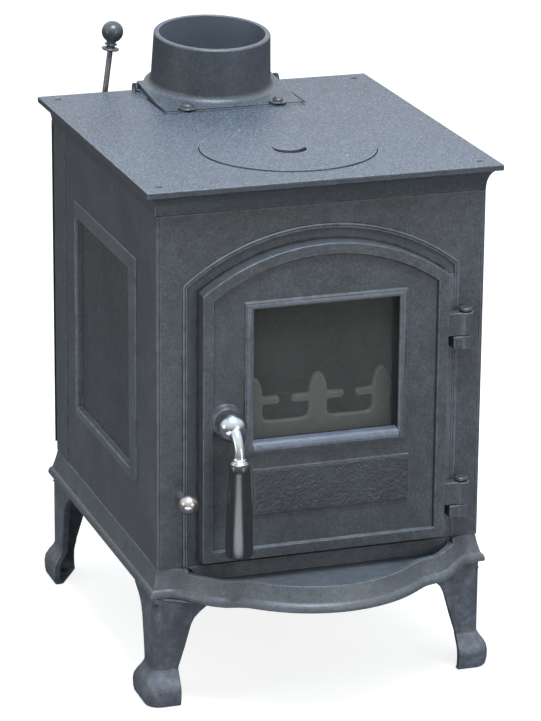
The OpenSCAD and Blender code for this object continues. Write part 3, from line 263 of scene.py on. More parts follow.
def plainGrain(name, dark, pale, scale, depth, roughness, metallic=0.0):
    # a fine even grain between two colours, in large faint patches
    finish = Finish(name)
    grain = finish.noise(scale, 5, 0.65)
    patches = finish.noise(scale * 0.06, 3, 0.5)
    tone = finish.between(grain * 0.6 + patches * 0.4, 0.35, 0.65)
    values = {
        "Base Color": finish.blend(tone, dark, pale),
        "Roughness": finish.between(patches, 0.3, 0.7) * 0.15 + roughness,
        "Metallic": metallic,
        "Normal": finish.bump(grain, depth, 0.8),
    }
    return finish.shade(values)


def turnedWood(name):
    # black stained wood under a thick glossy varnish
    finish = Finish(name, (1, 1, 0.09))
    fibre = finish.noise(620, 5, 0.7)
    wear = finish.noise(70, 3, 0.5)
    tone = finish.between(fibre, 0.35, 0.7)
    colour = finish.blend(tone, grey(0.004, 0.004, 0.005), grey(0.016, 0.014, 0.014))
    values = {
        "Base Color": colour,
        "Roughness": finish.between(wear, 0.3, 0.7) * 0.12 + 0.30,
        "Coat Weight": 1.0,
        "Coat Roughness": 0.2,
        "Normal": finish.bump(fibre, 0.05 * mm, 0.5),
    }
    return finish.shade(values)


def smokedGlass(name):
    # ceramic glass with a thin even film of soot, a little thicker in wisps
    finish = Finish(name)
    haze = finish.noise(24, 4, 0.6)
    streak = finish.noise(8, 3, 0.5)
    share = finish.between(haze * 0.5 + streak * 0.5, 0.35, 0.7)
    soot = finish.blend(share, grey(0.130, 0.132, 0.125), grey(0.165, 0.166, 0.158))
    film = {"Base Color": soot, "Roughness": 0.14, "Specular IOR Level": 0.5}
    filmed = finish.add("ShaderNodeBsdfPrincipled", values=film)
    clear = finish.add("ShaderNodeBsdfTransparent", values={"Color": grey(0.95, 0.95, 0.93)})
    mixed = finish.add("ShaderNodeMixShader", values={0: share * 0.08 + 0.26, 1: clear, 2: filmed})
    return finish.close(mixed)


def wovenRope(name, colour):
    finish = Finish(name)
    strands = finish.noise(900, 4, 0.7, 1.5)
    fuzz = finish.noise(240, 3, 0.6)
    dark = tuple(0.55 * c for c in colour[:3]) + (1.0,)
    values = {
        "Base Color": finish.blend(finish.between(strands, 0.3, 0.7), dark, colour),
        "Roughness": 0.92,
        "Normal": finish.bump(strands * 0.6 + fuzz * 0.4, 0.5 * mm, 0.9),
    }
    return finish.shade(values)


iron = castIron("castIron")
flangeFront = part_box("flue_collar")[0][1]
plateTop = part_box("hotplate_lid")[1][2]
flueFoot = (0.0, flangeFront + 94.6 * mm, plateTop)
# the top's paler, bluer colours are painted sky light; its dust specks are its own
skyLitTopIron = castIron("castIronTop", deep=(0.032, 0.038, 0.051), mid=(0.076, 0.088, 0.113),
                   pale=(0.165, 0.186, 0.236), speckle=360, grainDepth=0.3 * mm, grainShare=0.8, cloudScale=9,
                   dust=0.035)
# the collar: painted shade where it doesn't lie flat, and painted light inside its flue
collarIron = castIron("castIronCollar", deep=(0.036, 0.041, 0.050), mid=(0.072, 0.080, 0.097),
                      pale=(0.13, 0.145, 0.175), speckle=360, sideShade=0.45,
                      bore=(flueFoot, 61.9 * mm, 62.7 * mm))
# a paler copy of the iron: painted light for strips that lie in the door's shade
paintedLightRiserIron = castIron("castIronRiser", deep=(0.060, 0.067, 0.074), mid=(0.110, 0.121, 0.136),
                     pale=(0.17, 0.187, 0.21))
# paler, bluer copy with paler edges: painted sky light on the window's up-facing sill
litSillIron = castIron("castIronSill", deep=(0.065, 0.073, 0.092), mid=(0.100, 0.113, 0.146),
                    pale=(0.145, 0.163, 0.205), edge=(0.30, 0.33, 0.39))
# paler copy: painted light on the base's up-facing mouldings
litBaseIron = castIron("castIronBase", deep=(0.048, 0.053, 0.061), mid=(0.084, 0.092, 0.106),
                    pale=(0.140, 0.153, 0.178))
# paler copy with paler edges: painted highlight on the arch ridges and the window's bead
highlitBeadIron = castIron("castIronBead", deep=(0.046, 0.051, 0.060), mid=(0.086, 0.095, 0.110),
                    pale=(0.135, 0.148, 0.171), edge=(0.27, 0.29, 0.33))
# pale bluish pips and edges: painted sky light on the tops of the legs and feet
skyLitLegIron = castIron("castIronLeg", deep=(0.046, 0.051, 0.062), mid=(0.084, 0.093, 0.113),
                   pale=(0.19, 0.206, 0.25), edge=(0.26, 0.28, 0.33), speckle=330, sideShade=0.0,
                   grainShare=0.25)
# paler copy with paler edges: painted light on the side fields' raised frames
litRibIron = castIron("castIronRib", deep=(0.052, 0.058, 0.068), mid=(0.094, 0.104, 0.121),
                   pale=(0.15, 0.165, 0.19), edge=(0.30, 0.325, 0.37), roughness=0.36)
# near black: soot, and painted shade on strips set where shadow lines fall
sootAndShadeIron = castIron("castIronSoot", deep=(0.008, 0.008, 0.008), mid=(0.016, 0.016, 0.016),
                    pale=(0.03, 0.03, 0.03), edgeShare=0.0, roughness=0.6)
fieldIron = castIron("castIronTextured", deep=(0.026, 0.028, 0.031), mid=(0.050, 0.054, 0.060),
                     pale=(0.085, 0.092, 0.104), edgeShare=0.0, grainScale=620, grainDepth=0.2 * mm,
                     roughness=0.45)
innerIron = castIron("innerIron", deep=(0.05, 0.047, 0.04), mid=(0.10, 0.094, 0.082), pale=(0.17, 0.16, 0.14),
                     edgeShare=0.2, roughness=0.7)
# pale partly from ash and partly as painted light that the glass keeps out; its wide pale edges are a painted
# highlight
guardIron = castIron("guardIron", deep=(0.25, 0.25, 0.24), mid=(0.32, 0.32, 0.31), pale=(0.39, 0.39, 0.375),
                     edge=(0.95, 0.95, 0.93), edgeShare=1.0, rubWidth=5 * mm, roughness=0.4)
knobIron = castIron("castIronKnob", deep=(0.03, 0.032, 0.036), mid=(0.05, 0.053, 0.059),
                    pale=(0.09, 0.095, 0.104), grainDepth=0.06 * mm, roughness=0.3)
darkSteel = plainGrain("darkSteel", grey(0.12, 0.122, 0.126), grey(0.30, 0.30, 0.31), 500,
                       0.05 * mm, 0.26, 0.85)
plainSteel = brightMetal("plainSteel", grey(0.46, 0.46, 0.47), 0.34, 0.12)
sheetSteel = plainGrain("sheetSteel", grey(0.035, 0.037, 0.04), grey(0.075, 0.078, 0.084), 700,
                        0.05 * mm, 0.42, 0.4)
fireBrick = plainGrain("fireBrick", grey(0.20, 0.17, 0.13), grey(0.34, 0.29, 0.22), 330, 0.5 * mm, 0.88)
chrome = brightMetal("chrome", grey(0.46, 0.49, 0.52), 0.2)
nickel = brightMetal("satinNickel", grey(0.46, 0.43, 0.42), 0.26, 0.05)
blackWood = turnedWood("blackWood")
ceramicGlass = smokedGlass("ceramicGlass")
glassFibre = wovenRope("glassFibre", grey(0.72, 0.70, 0.64))
print("finishes made:", len(bpy.data.materials))


# shapes

def sharpenByAngle(mesh, degrees):
    mesh.shade_smooth()
    mesh.set_sharp_from_angle(angle=math.radians(degrees))


def settle(piece):
    # the evaluated shape becomes the piece's own mesh, and its modifiers go
    graph = bpy.context.evaluated_depsgraph_get()
    made = bpy.data.meshes.new_from_object(piece.evaluated_get(graph), depsgraph=graph)
    piece.modifiers.clear()
    old = piece.data
    piece.data = made
    made.name = piece.name
    if old.users == 0:
        bpy.data.meshes.remove(old)
    return piece


def makeObject(name, mesh):
    piece = bpy.data.objects.new(name, mesh)
    bpy.context.scene.collection.objects.link(piece)
    return piece


def meshFrom(name, points, faces, edges=()):
    mesh = bpy.data.meshes.new(name)
    mesh.from_pydata([tuple(p) for p in points], list(edges), faces)
    mesh.validate()
    return mesh


def middleOf(node):
    # a node's middle in x and y, and its lowest height
    low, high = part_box(node)
    return (low[0] + high[0]) / 2, (low[1] + high[1]) / 2, low[2]


def dress(piece, body, slot, material, replaces=()):
    piece.data.materials.clear()
    piece.data.materials.append(material)
    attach(piece, body)
    if replaces:
        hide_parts(*replaces)
    return piece


softening = {
    "weld": 2e-6,  # points nearer than this are one
    "flat": 0.4,  # faces that turn by fewer degrees than this are one
    "sharp": 34,  # edges that turn by more degrees than this are rounded
}


def weldedCopy(node):
    # a node's loose triangles as one joined shape
    shape = bmesh.new()
    shape.from_mesh(parts[node].data)
    bmesh.ops.remove_doubles(shape, verts=shape.verts, dist=softening["weld"])
    return shape


def softened(node, look):
    # a copy of a casting with its sharp edges rounded, as sand casting leaves them
    shape = weldedCopy(node)
    bmesh.ops.dissolve_degenerate(shape, edges=shape.edges, dist=softening["weld"] / 2)
    # the ring below a throat keeps its own faces, because one large face would close it
    held = look.get("heldBelow", -1)
    loose = [v for v in shape.verts if v.co.z > held]
    joined = [e for e in shape.edges if all(v.co.z > held for v in e.verts)]
    flat = math.radians(softening["flat"])
    bmesh.ops.dissolve_limit(shape, verts=loose, edges=joined, angle_limit=flat)
    weights = shape.edges.layers.float.new("bevel_weight_edge")
    sharp = math.radians(softening["sharp"])
    for edge in shape.edges:
        if len(edge.link_faces) == 2 and edge.calc_face_angle() > sharp:
            edge[weights] = 0.0 if within(edge, look.get("kept")) else 1.0
            edge.smooth = edge[weights] > 0
    mesh = bpy.data.meshes.new(node + "_casting")
    shape.to_mesh(mesh)
    shape.free()
    mesh.materials.clear()
    mesh.shade_smooth()
    piece = makeObject(node + "_casting", mesh)
    bevel = piece.modifiers.new("round", "BEVEL")
    bevel.width = look["width"]
    bevel.segments = look.get("segments", 3)
    bevel.limit_method = "WEIGHT"
    bevel.use_clamp_overlap = False
    bevel.miter_outer = "MITER_ARC"
    shading = piece.modifiers.new("shade", "WEIGHTED_NORMAL")
    shading.mode = "FACE_AREA"
    shading.weight = 100
    settle(piece)
    # a rounded foot may bulge a hair below the floor, and is pressed flat on it
    for vert in piece.data.vertices:
        vert.co.z = max(0.0, vert.co.z)
    return piece


def within(edge, box):
    # whether an edge lies in a box; none does where there is no box
    return bool(box) and all(box[0][i] <= v.co[i] <= box[1][i] for v in edge.verts for i in range(3))


def addTurned(shape, profile, foot=(0, 0, 0), aim=(0, 0, 1), sides=48):
    # a turned solid: radius and height pairs from its foot along its axis
    stand = Vector(aim).normalized().to_track_quat("Z", "Y").to_matrix().to_4x4()
    place = Matrix.Translation(foot) @ stand
    rings = []
    for radius, height in profile:
        count = sides if radius > softening["weld"] else 1
        turns = [2 * math.pi * i / sides for i in range(count)]
        ring = [place @ Vector((radius * math.cos(t), radius * math.sin(t), height)) for t in turns]
        rings.append([shape.verts.new(point) for point in ring])
    bridgeRings(shape, rings, sides)


def addSwept(shape, centres, radii, sides):
    # a round bar of changing thickness along a path in the plane x = constant
    rings = []
    last = len(centres) - 1
    for i, (centre, radius) in enumerate(zip(centres, radii)):
        ahead = (centres[min(i + 1, last)] - centres[max(i - 1, 0)]).normalized()
        across = Vector((1, 0, 0))
        other = ahead.cross(across)
        turns = [2 * math.pi * k / sides for k in range(sides)]
        ring = [centre + radius * (math.cos(t) * across + math.sin(t) * other) for t in turns]
        rings.append([shape.verts.new(point) for point in ring])
    rings.insert(0, [shape.verts.new(centres[0])])
    rings.append([shape.verts.new(centres[-1])])
    bridgeRings(shape, rings, sides)


def addRun(shape, nearPoints, farPoints):
    # a closed solid between two outlines that match point by point
    near = [shape.verts.new(point) for point in nearPoints]
    far = [shape.verts.new(point) for point in farPoints]
    shape.faces.new(near)
    shape.faces.new(list(reversed(far)))
    bridgeRings(shape, [near, far], len(near))


def bridgeRings(shape, rings, sides):
    for low, high in zip(rings, rings[1:]):
        for i in range(sides):
            j = (i + 1) % sides
            corners = [low[i % len(low)], low[j % len(low)], high[j % len(high)], high[i % len(high)]]
            unique = list(dict.fromkeys(corners))
            if len(unique) > 2:
                shape.faces.new(unique)


def pieceFrom(shape, name, degrees):
    bmesh.ops.recalc_face_normals(shape, faces=shape.faces)
    mesh = bpy.data.meshes.new(name)
    shape.to_mesh(mesh)
    shape.free()
    sharpenByAngle(mesh, degrees)
    return makeObject(name, mesh)


def makeTurned(name, profile, foot, body, slot, finish, replaces=(), aim=(0, 0, 1), sides=48, degrees=50):
    shape = bmesh.new()
    addTurned(shape, profile, foot, aim, sides)
    dress(pieceFrom(shape, name, degrees), body, slot, finish, replaces)


def makeMoulding(name, section, cornersOf, body, finish):
    # a section carried round four corners; cornersOf gives the four places of one of its points
    shape = bmesh.new()
    rings = [[shape.verts.new(corner) for corner in cornersOf(*point)] for point in section]
    bridgeRings(shape, rings + rings[:1], 4)
    dress(pieceFrom(shape, name, 38), body, "cast_iron", finish)


def arc(middle, radius, start, end, steps):
    # radius and height pairs round a quarter or half circle, for a turned profile
    turns = [math.radians(start + (end - start) * i / steps) for i in range(steps + 1)]
    return [(max(0.0, middle[0] + radius * math.cos(t)), middle[1] + radius * math.sin(t)) for t in turns]


class Growth(Graph):
    # a tree of geometry nodes with named inputs, grown into a plain mesh
    def __init__(self, name, inputs):
        self.group = bpy.data.node_groups.new(name, "GeometryNodeTree")
        super().__init__(self.group)
        self.group.interface.new_socket("Geometry", in_out="OUTPUT", socket_type="NodeSocketGeometry")
        self.identifiers = {}
        everyInput = {"Geometry": "Geometry", **inputs, "Finish": "Material"}
        for label, kind in everyInput.items():
            kindName = "NodeSocket" + kind
            socket = self.group.interface.new_socket(label, in_out="INPUT", socket_type=kindName)
            self.identifiers[label] = socket.identifier
        self.entry = self.tree.nodes.new("NodeGroupInput")

    def given(self, label):
        return Wire(self, self.entry.outputs[label])

    def close(self, geometry):
        smooth = self.add("GeometryNodeSetShadeSmooth", values={"Geometry": geometry})
        whole = self.add("GeometryNodeRealizeInstances", values={"Geometry": smooth})
        values = {"Geometry": whole, "Material": self.given("Finish")}
        finished = self.add("GeometryNodeSetMaterial", values=values)
        out = self.tree.nodes.new("NodeGroupOutput")
        self.plug(out.inputs["Geometry"], finished)

    def grow(self, name, host, values):
        piece = makeObject(name, host)
        modifier = piece.modifiers.new("shape", "NODES")
        modifier.node_group = self.group
        for label, value in values.items():
            modifier[self.identifiers[label]] = value
        return settle(piece)


# castings, softened

softEdges = {
    # width of the rounding; the collar's seat in the top plate is kept sharp
    "top_plate": {"width": 0.9 * mm, "finish": skyLitTopIron, "heldBelow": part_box("top_plate")[0][2] + 0.2 * mm,
                  "kept": ((-0.105, flangeFront - 12 * mm, 0), (0.105, 1, 1))},
    "hotplate_lid": {"width": 0.7 * mm, "finish": skyLitTopIron, "body": "hotplate"},
    "flue_collar": {"width": 0.8 * mm, "finish": collarIron},
    "front_frame": {"width": 0.9 * mm, "finish": iron},
    "left_side_panel": {"width": 1.2 * mm, "finish": iron},
    "right_side_panel": {"width": 1.2 * mm, "finish": iron},
    "rear_panel": {"width": 0.8 * mm, "finish": iron},
    "base_plate": {"width": 0.7 * mm, "finish": litBaseIron, "segments": 2},
    "door": {"width": 0.9 * mm, "finish": iron, "body": "door"},
}
for corner in ("front_left", "front_right", "rear_left", "rear_right"):
    softEdges["leg_" + corner] = {"width": 1.4 * mm, "finish": skyLitLegIron}
for node, look in softEdges.items():
    cast = softened(node, look)
    dress(cast, look.get("body", "stove"), "cast_iron", look["finish"], [node])
    print("softened", node, len(cast.data.polygons), "faces")


guardLook = {
    "voxel": 1.15 * mm,
    "passes": 7,
    "swell": 0.5 * mm,
}


def makeGuard(look):
    # the log guard worn round all over: remeshed evenly, swollen a little and smoothed
    piece = makeObject("log_guard_casting", parts["log_guard"].data.copy())
    mesh = piece.modifiers.new("even", "REMESH")
    mesh.mode = "VOXEL"
    mesh.voxel_size = look["voxel"]
    swell = piece.modifiers.new("swell", "DISPLACE")
    swell.strength = look["swell"]
    swell.mid_level = 0.0
    wear = piece.modifiers.new("wear", "SMOOTH")
    wear.factor = 0.5
    wear.iterations = look["passes"]
    settle(piece)
    piece.data.shade_smooth()
    dress(piece, "stove", "inner_iron", guardIron, ["log_guard"])
    print("guard smoothed", len(piece.data.polygons), "faces")


makeGuard(guardLook)


# hammered fields: closed sheets whose lumps stand out from the castings

def hammeredTree():
    sizes = ["Width", "Height", "Thickness", "Spacing", "Lumps", "Depth", "Rim", "Seed"]
    tree = Growth("hammeredSheet", {name: "Float" for name in sizes})
    width, height, thick, spacing, lumps, depth, rim, seed = [tree.given(name) for name in sizes]
    size = tree.add("ShaderNodeCombineXYZ", values={0: width, 1: height, 2: thick})
    counts = {"Size": size, "Vertices X": width / spacing + 1, "Vertices Y": height / spacing + 1}
    block = tree.add("GeometryNodeMeshCube", values=counts, output="Mesh")
    place = tree.add("GeometryNodeInputPosition")
    x, y, z = tree.split(place)
    # flat at the rim, so that the sheet meets the casting in a straight line
    inX = width / 2 - x.maths("ABSOLUTE")
    inY = height / 2 - y.maths("ABSOLUTE")
    fade = (inX.maths("MINIMUM", inY) / rim).clamped()
    fine = {"Vector": place, "W": seed, "Scale": lumps, "Detail": 2.5, "Roughness": 0.6, "Distortion": 0.4}
    wander = tree.add("ShaderNodeTexNoise", {"noise_dimensions": "4D"}, fine)
    coarse = {"Vector": place, "W": seed, "Scale": lumps * 1.1, "Smoothness": 0.5}
    cells = tree.add("ShaderNodeTexVoronoi", {"voronoi_dimensions": "4D", "feature": "SMOOTH_F1"}, coarse)
    rise = tree.between(wander, 0.3, 0.72) * 0.62 + tree.between(cells, 0.75, 0.1) * 0.38
    lift = rise * depth * fade * z.maths("GREATER_THAN", 0)
    offset = tree.add("ShaderNodeCombineXYZ", values={0: 0.0, 1: 0.0, 2: lift})
    tree.close(tree.add("GeometryNodeSetPosition", values={"Geometry": block, "Offset": offset}))
    return tree


plaqueField = {
    "middle": (7.5 * mm, -0.19995, 0.23925),
    "out": (0, -1, 0),  # the way out of the casting
    "width": 0.1785,
    "height": 0.053,
    "thick": 2.6 * mm,
    "spacing": 0.9 * mm,
    "lumps": 400.0,
    "depth": 1.2 * mm,
    "rim": 2.5 * mm,
    "seed": 2.0,
    "body": "door",
}
sideField = {
    "width": 0.2137,
    "height": 0.2284,
    "thick": 0.6 * mm,
    "spacing": 1.12 * mm,
    "lumps": 330.0,
    "depth": 1.3 * mm,
    "rim": 2.5 * mm,
    "body": "stove",
}
hammeredFields = {
    "plaque_texture": plaqueField,
    "left_field_texture": dict(sideField, middle=(-0.1820, 0.014335, 0.35775), out=(-1, 0, 0), seed=5.0),
    "right_field_texture": dict(sideField, middle=(0.1820, 0.014335, 0.35775), out=(1, 0, 0), seed=9.0),
}
sheetTree = hammeredTree()
for name, look in hammeredFields.items():
    host = meshFrom(name, [(0, 0, 0)], [])
    values = {"Width": look["width"], "Height": look["height"], "Thickness": look["thick"],
              "Spacing": look["spacing"], "Lumps": look["lumps"], "Depth": look["depth"],
              "Rim": look["rim"], "Seed": look["seed"], "Finish": fieldIron}
    sheet = sheetTree.grow(name, host, values)
    out = Vector(look["out"])
    level = Vector((0, 0, 1)).cross(out)
    turn = Matrix((level, Vector((0, 0, 1)), out)).transposed().to_4x4()
    sheet.data.transform(Matrix.Translation(look["middle"]) @ turn)
    sharpenByAngle(sheet.data, 62)
    dress(sheet, look["body"], "cast_iron", fieldIron)
    print("hammered", name, len(sheet.data.polygons), "faces")


# ridges along the arched bead round the door

def ridgeTree():
    tree = Growth("castRidge", {"Radius": "Float", "Sides": "Int"})
    path = tree.add("GeometryNodeMeshToCurve", values={"Mesh": tree.given("Geometry")})
    values = {"Resolution": tree.given("Sides"), "Radius": tree.given("Radius")}
    ring = tree.add("GeometryNodeCurvePrimitiveCircle", {"mode": "RADIUS"}, values, output="Curve")
    values = {"Curve": path, "Profile Curve": ring, "Fill Caps": True}
    tree.close(tree.add("GeometryNodeCurveToMesh", values=values))
    return tree


doorArch = {
    "half": 0.1395,
    "rise": 0.047,
    "top": 0.514,
    "foot": 0.1575,
    "steps": 90,
}


def archPath(look, margin):
    # the door's outline, moved out by a margin, as points from the lower left round to the lower right
    radius = (look["half"] ** 2 + look["rise"] ** 2) / (2 * look["rise"])
    middle = look["top"] - radius
    half, reach = look["half"] + margin, radius + margin
    spread = math.asin(half / reach)
    turns = [spread * (2 * i / look["steps"] - 1) for i in range(look["steps"] + 1)]
    curve = [(reach * math.sin(t), middle + reach * math.cos(t)) for t in turns]
    return [(-half, look["foot"])] + curve + [(half, look["foot"])]


frameFace = -0.183165
sunk = 0.5 * mm  # how far a piece set on a casting reaches into it
beadRidges = {
    "outer": {"margin": 15.7 * mm, "out": 2.3 * mm, "radius": 1.7 * mm},
    "inner": {"margin": 12.9 * mm, "out": 1.9 * mm, "radius": 1.3 * mm},
}
ridges = ridgeTree()
for name, look in beadRidges.items():
    outline = archPath(doorArch, look["margin"])
    points = [(x, frameFace - look["out"], z) for x, z in outline]
    edges = [(i, i + 1) for i in range(len(points) - 1)]
    host = meshFrom(name, points, [], edges)
    values = {"Radius": look["radius"], "Sides": 14, "Finish": highlitBeadIron}
    ridge = ridges.grow("arch_ridge_" + name, host, values)
    sharpenByAngle(ridge.data, 50)
    dress(ridge, "stove", "cast_iron", highlitBeadIron)
print("arch ridges made")


# skin of the front, its corner beads, and the hinges' pins and arms

def rounded(piece, width, segments=3):
    bevel = piece.modifiers.new("round", "BEVEL")
    bevel.width = width
    bevel.segments = segments
    bevel.limit_method = "ANGLE"
    bevel.angle_limit = math.radians(40)
    bevel.harden_normals = True
    piece.data.shade_smooth()
    return settle(piece)


def addPrism(shape, outline, front, back):
    # an outline in x and z, run along y from its front to its back
    addRun(shape, [(x, front, z) for x, z in outline], [(x, back, z) for x, z in outline])


def addBar(shape, section, start, end):
    # a section in y and z, run along x
    addRun(shape, [(start, y, z) for y, z in section], [(end, y, z) for y, z in section])


frontLook = {
    "half": 0.1818,
    "top": 0.5533,
    "foot": 0.1568,
    "proud": 1.3 * mm,
    "beadMargin": 17.4 * mm,
    "cornerX": 0.1838,
    "cornerRadius": 2.5 * mm,
}


def makeFrontSkin(look):
    half, front = look["half"], frameFace - look["proud"]
    outline = [(-half, look["foot"]), (-half, look["top"]), (half, look["top"]), (half, look["foot"])]
    arch = archPath(dict(doorArch, foot=look["foot"]), look["beadMargin"])
    shape = bmesh.new()
    addPrism(shape, outline + list(reversed(arch)), front, frameFace + sunk)
    skin = rounded(pieceFrom(shape, "front_skin", 30), 0.5 * mm, 2)
    dress(skin, "stove", "cast_iron", iron)
    for side, name in ((-1, "left"), (1, "right")):
        foot = (side * look["cornerX"], frameFace - 0.2 * mm, look["foot"])
        long, r = look["top"] - look["foot"], look["cornerRadius"]
        bead = [(0, 0), (r, 0), (r, long), (0, long)]
        makeTurned("corner_bead_" + name, bead, foot, "stove", "cast_iron", iron, sides=28, degrees=40)


hingeLook = {
    "armWidth": 15.5 * mm,
    "armDepth": 7.5 * mm,
    "armHeight": 14.6 * mm,
    "armRounding": 1.6 * mm,
    "armShort": 2 * mm,  # the arm ends this far short of the pin's axis
    "pinRadius": 3.9 * mm,
    "headRadius": 7.3 * mm,
    "headHeight": 3.2 * mm,
    # the head's crown, as shares of its radius and of the height left above
    "crown": ((1, 1), (1, 0.45), (0.93, 0.2), (0.75, 0.06), (0.4, 0)),
}


def makeHinge(end, look):
    # the pin with its wide low head, and the casting's arm beside the lower knuckle
    node = "hinge_pin_" + end
    x, y, low = middleOf(node)
    head, h, pin = look["headRadius"], look["headHeight"], look["pinRadius"]
    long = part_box(node)[1][2] - low
    crown = [(head * share, long - h * left) for share, left in look["crown"]]
    profile = [(0, 0), (pin, 0), (pin, long - h)] + crown + [(0, long)]
    makeTurned(node + "_turned", profile, (x, y, low), "stove", "dark_steel", knobIron, [node], degrees=40)
    foot, top = low + 0.2 * mm, low + look["armHeight"]
    left, right = x - look["armWidth"], x - look["armShort"]
    outline = [(left, foot), (right, foot), (right, top), (left, top)]
    shape = bmesh.new()
    addPrism(shape, outline, y - look["armDepth"], frameFace + sunk)
    arm = rounded(pieceFrom(shape, "hinge_arm_" + end, 30), look["armRounding"])
    dress(arm, "stove", "cast_iron", iron)


makeFrontSkin(frontLook)
makeHinge("upper", hingeLook)
makeHinge("lower", hingeLook)
print("front skin and hinges made")


# the window: a reveal painted dark as shade, the glass's rim painted dark as soot and shade, a round bead
# with a painted highlight and a long sill painted paler as light on it

windowLook = {
    "half": 0.082,
    "low": 0.298,
    "high": 0.447,
    "field": -0.199666,
}
windowParts = {
    # corners of each section in millimetres: how far out of the door's field,
    # then how far from the opening at the sides, the head and the sill
    "window_reveal": (sootAndShadeIron, [(-5.2, 0.0, 0.0, 0.8), (0.0, 0.3, 0.3, 1.2), (2.2, 0.8, 0.8, 1.8),
                                 (2.0, 3.0, 3.0, 3.0), (-6.0, 1.5, 1.5, 1.5)]),
    "glass_rim": (sootAndShadeIron, [(-7.4, 0.3, 0.3, 0.3), (-7.4, -3.0, -1.5, -0.8), (-7.9, -3.2, -1.7, -1.0),
                             (-7.9, 0.3, 0.3, 0.3)]),
    "window_bead": (highlitBeadIron, [(1.0, 1.6, 1.6, 3.0), (2.4, 0.7, 0.7, 2.4), (3.9, 1.5, 1.5, 3.2),
                               (4.7, 3.0, 2.6, 4.8), (4.8, 4.8, 4.0, 6.8), (4.2, 6.6, 5.5, 8.9),
                               (3.3, 8.2, 6.8, 11.2), (0.5, 8.2, 6.8, 11.2)]),
}
windowSill = {
    "past": 0.4 * mm,  # beyond the opening at each side
    # out of the door's field and up from the opening, in millimetres
    "section": [(-4.9, 0.1), (0.5, -0.3), (3.0, -1.7), (5.0, -4.2), (6.0, -7.0), (5.8, -9.4), (3.0, -10.8),
                (-4.9, -10.8)],
}


def windowCorners(out, side, head, sill):
    x, y = windowLook["half"] + side * mm, windowLook["field"] - out * mm
    low, high = windowLook["low"] - sill * mm, windowLook["high"] + head * mm
    return (-x, y, low), (x, y, low), (x, y, high), (-x, y, high)


def makeWindowSill(look, place):
    shape = bmesh.new()
    points = [(place["field"] - out * mm, place["low"] + rise * mm) for out, rise in look["section"]]
    half = place["half"] + look["past"]
    addBar(shape, points, -half, half)
    dress(pieceFrom(shape, "window_sill", 38), "door", "cast_iron", litSillIron)


for name, (finish, section) in windowParts.items():
    makeMoulding(name, section, windowCorners, "door", finish)
makeWindowSill(windowSill, windowLook)
print("window bead made")


# dark lines of painted shade: in the corner inside the door's border, with some soot, and under the flue's
# flange

borderLook = {
    "width": 12.0 * mm,  # of the door's border
    "line": 1.4 * mm,
    "tuck": 0.4 * mm,  # how far the line reaches under the border
    "proud": 0.45 * mm,
    "foot": 0.178,
}
flangeLook = {
    "half": 0.0820,
    "long": 0.075,
    "line": 1.5 * mm,
    "sunk": 0.4 * mm,
    "proud": 0.25 * mm,
}


def makeBorderLine(look):
    inner = dict(doorArch, foot=look["foot"])
    outline = archPath(inner, look["tuck"] - look["width"])
    inside = archPath(inner, -look["width"] - look["line"])
    shape = bmesh.new()
    field = windowLook["field"]
    addPrism(shape, outline + list(reversed(inside)), field - look["proud"], field + sunk)
    dress(pieceFrom(shape, "border_line", 30), "door", "cast_iron", sootAndShadeIron)


def makeFlangeLine(look):
    # three sides of the flange, on the top plate
    half, line, front = look["half"], look["line"], flangeFront
    back, outer = front + look["long"], half + line
    outline = [(-outer, back), (-outer, front - line), (outer, front - line), (outer, back),
               (half, back), (half, front), (-half, front), (-half, back)]
    low, high = plateTop - look["sunk"], plateTop + look["proud"]
    shape = bmesh.new()
    addRun(shape, [(x, y, low) for x, y in outline], [(x, y, high) for x, y in outline])
    dress(pieceFrom(shape, "flange_line", 30), "stove", "cast_iron", sootAndShadeIron)


makeBorderLine(borderLook)
makeFlangeLine(flangeLook)
print("dark lines made")


# pale strips of painted light: the riser between the ash shelf and the door, and the band beside the door's
# hinged edge

stripLook = {
    # where each begins and ends in x, y and z, in millimetres
    "shelf_riser": ((-149.6, 149.6), (-186.6, -185.0), (139.6, 156.2)),
    "hinge_side_band": ((141.2, 151.5), (-185.4, -183.0), (157.0, 462.0)),
}
for name, reach in stripLook.items():
    (left, right), (front, back), (low, high) = [(start * mm, end * mm) for start, end in reach]
    shape = bmesh.new()
    addBar(shape, [(front, low), (back, low), (back, high), (front, high)], left, right)
    dress(pieceFrom(shape, name, 30), "stove", "cast_iron", paintedLightRiserIron)
print("strips made")


# raised frames round the side fields

sideFrameLook = {
    "front": -0.09257,
    "rear": 0.1212,
    "low": 0.2435,
    "high": 0.4720,
    "side": 0.1845,
    # corners of the section in millimetres: outward from the recess, and out of the panel
    "section": [(0.0, -2.0), (-0.2, 3.6), (0.4, 4.9), (1.8, 5.3), (3.6, 4.9), (8.0, 3.2), (12.2, 1.9),
                (13.7, 1.5), (14.3, 0.8), (14.3, -1.0), (0.6, -2.4)],
}


def makeSideFrame(name, side, look):
    def cornersOf(grow, out):
        x, g = side * (look["side"] + out * mm), grow * mm
        front, rear, low, high = look["front"] - g, look["rear"] + g, look["low"] - g, look["high"] + g
        return (x, front, low), (x, rear, low), (x, rear, high), (x, front, high)

    makeMoulding(name, look["section"], cornersOf, "stove", litRibIron)


makeSideFrame("left_field_frame", -1, sideFrameLook)
makeSideFrame("right_field_frame", 1, sideFrameLook)
print("side frames made")


# screws and bolts, scattered on points that carry the way they face

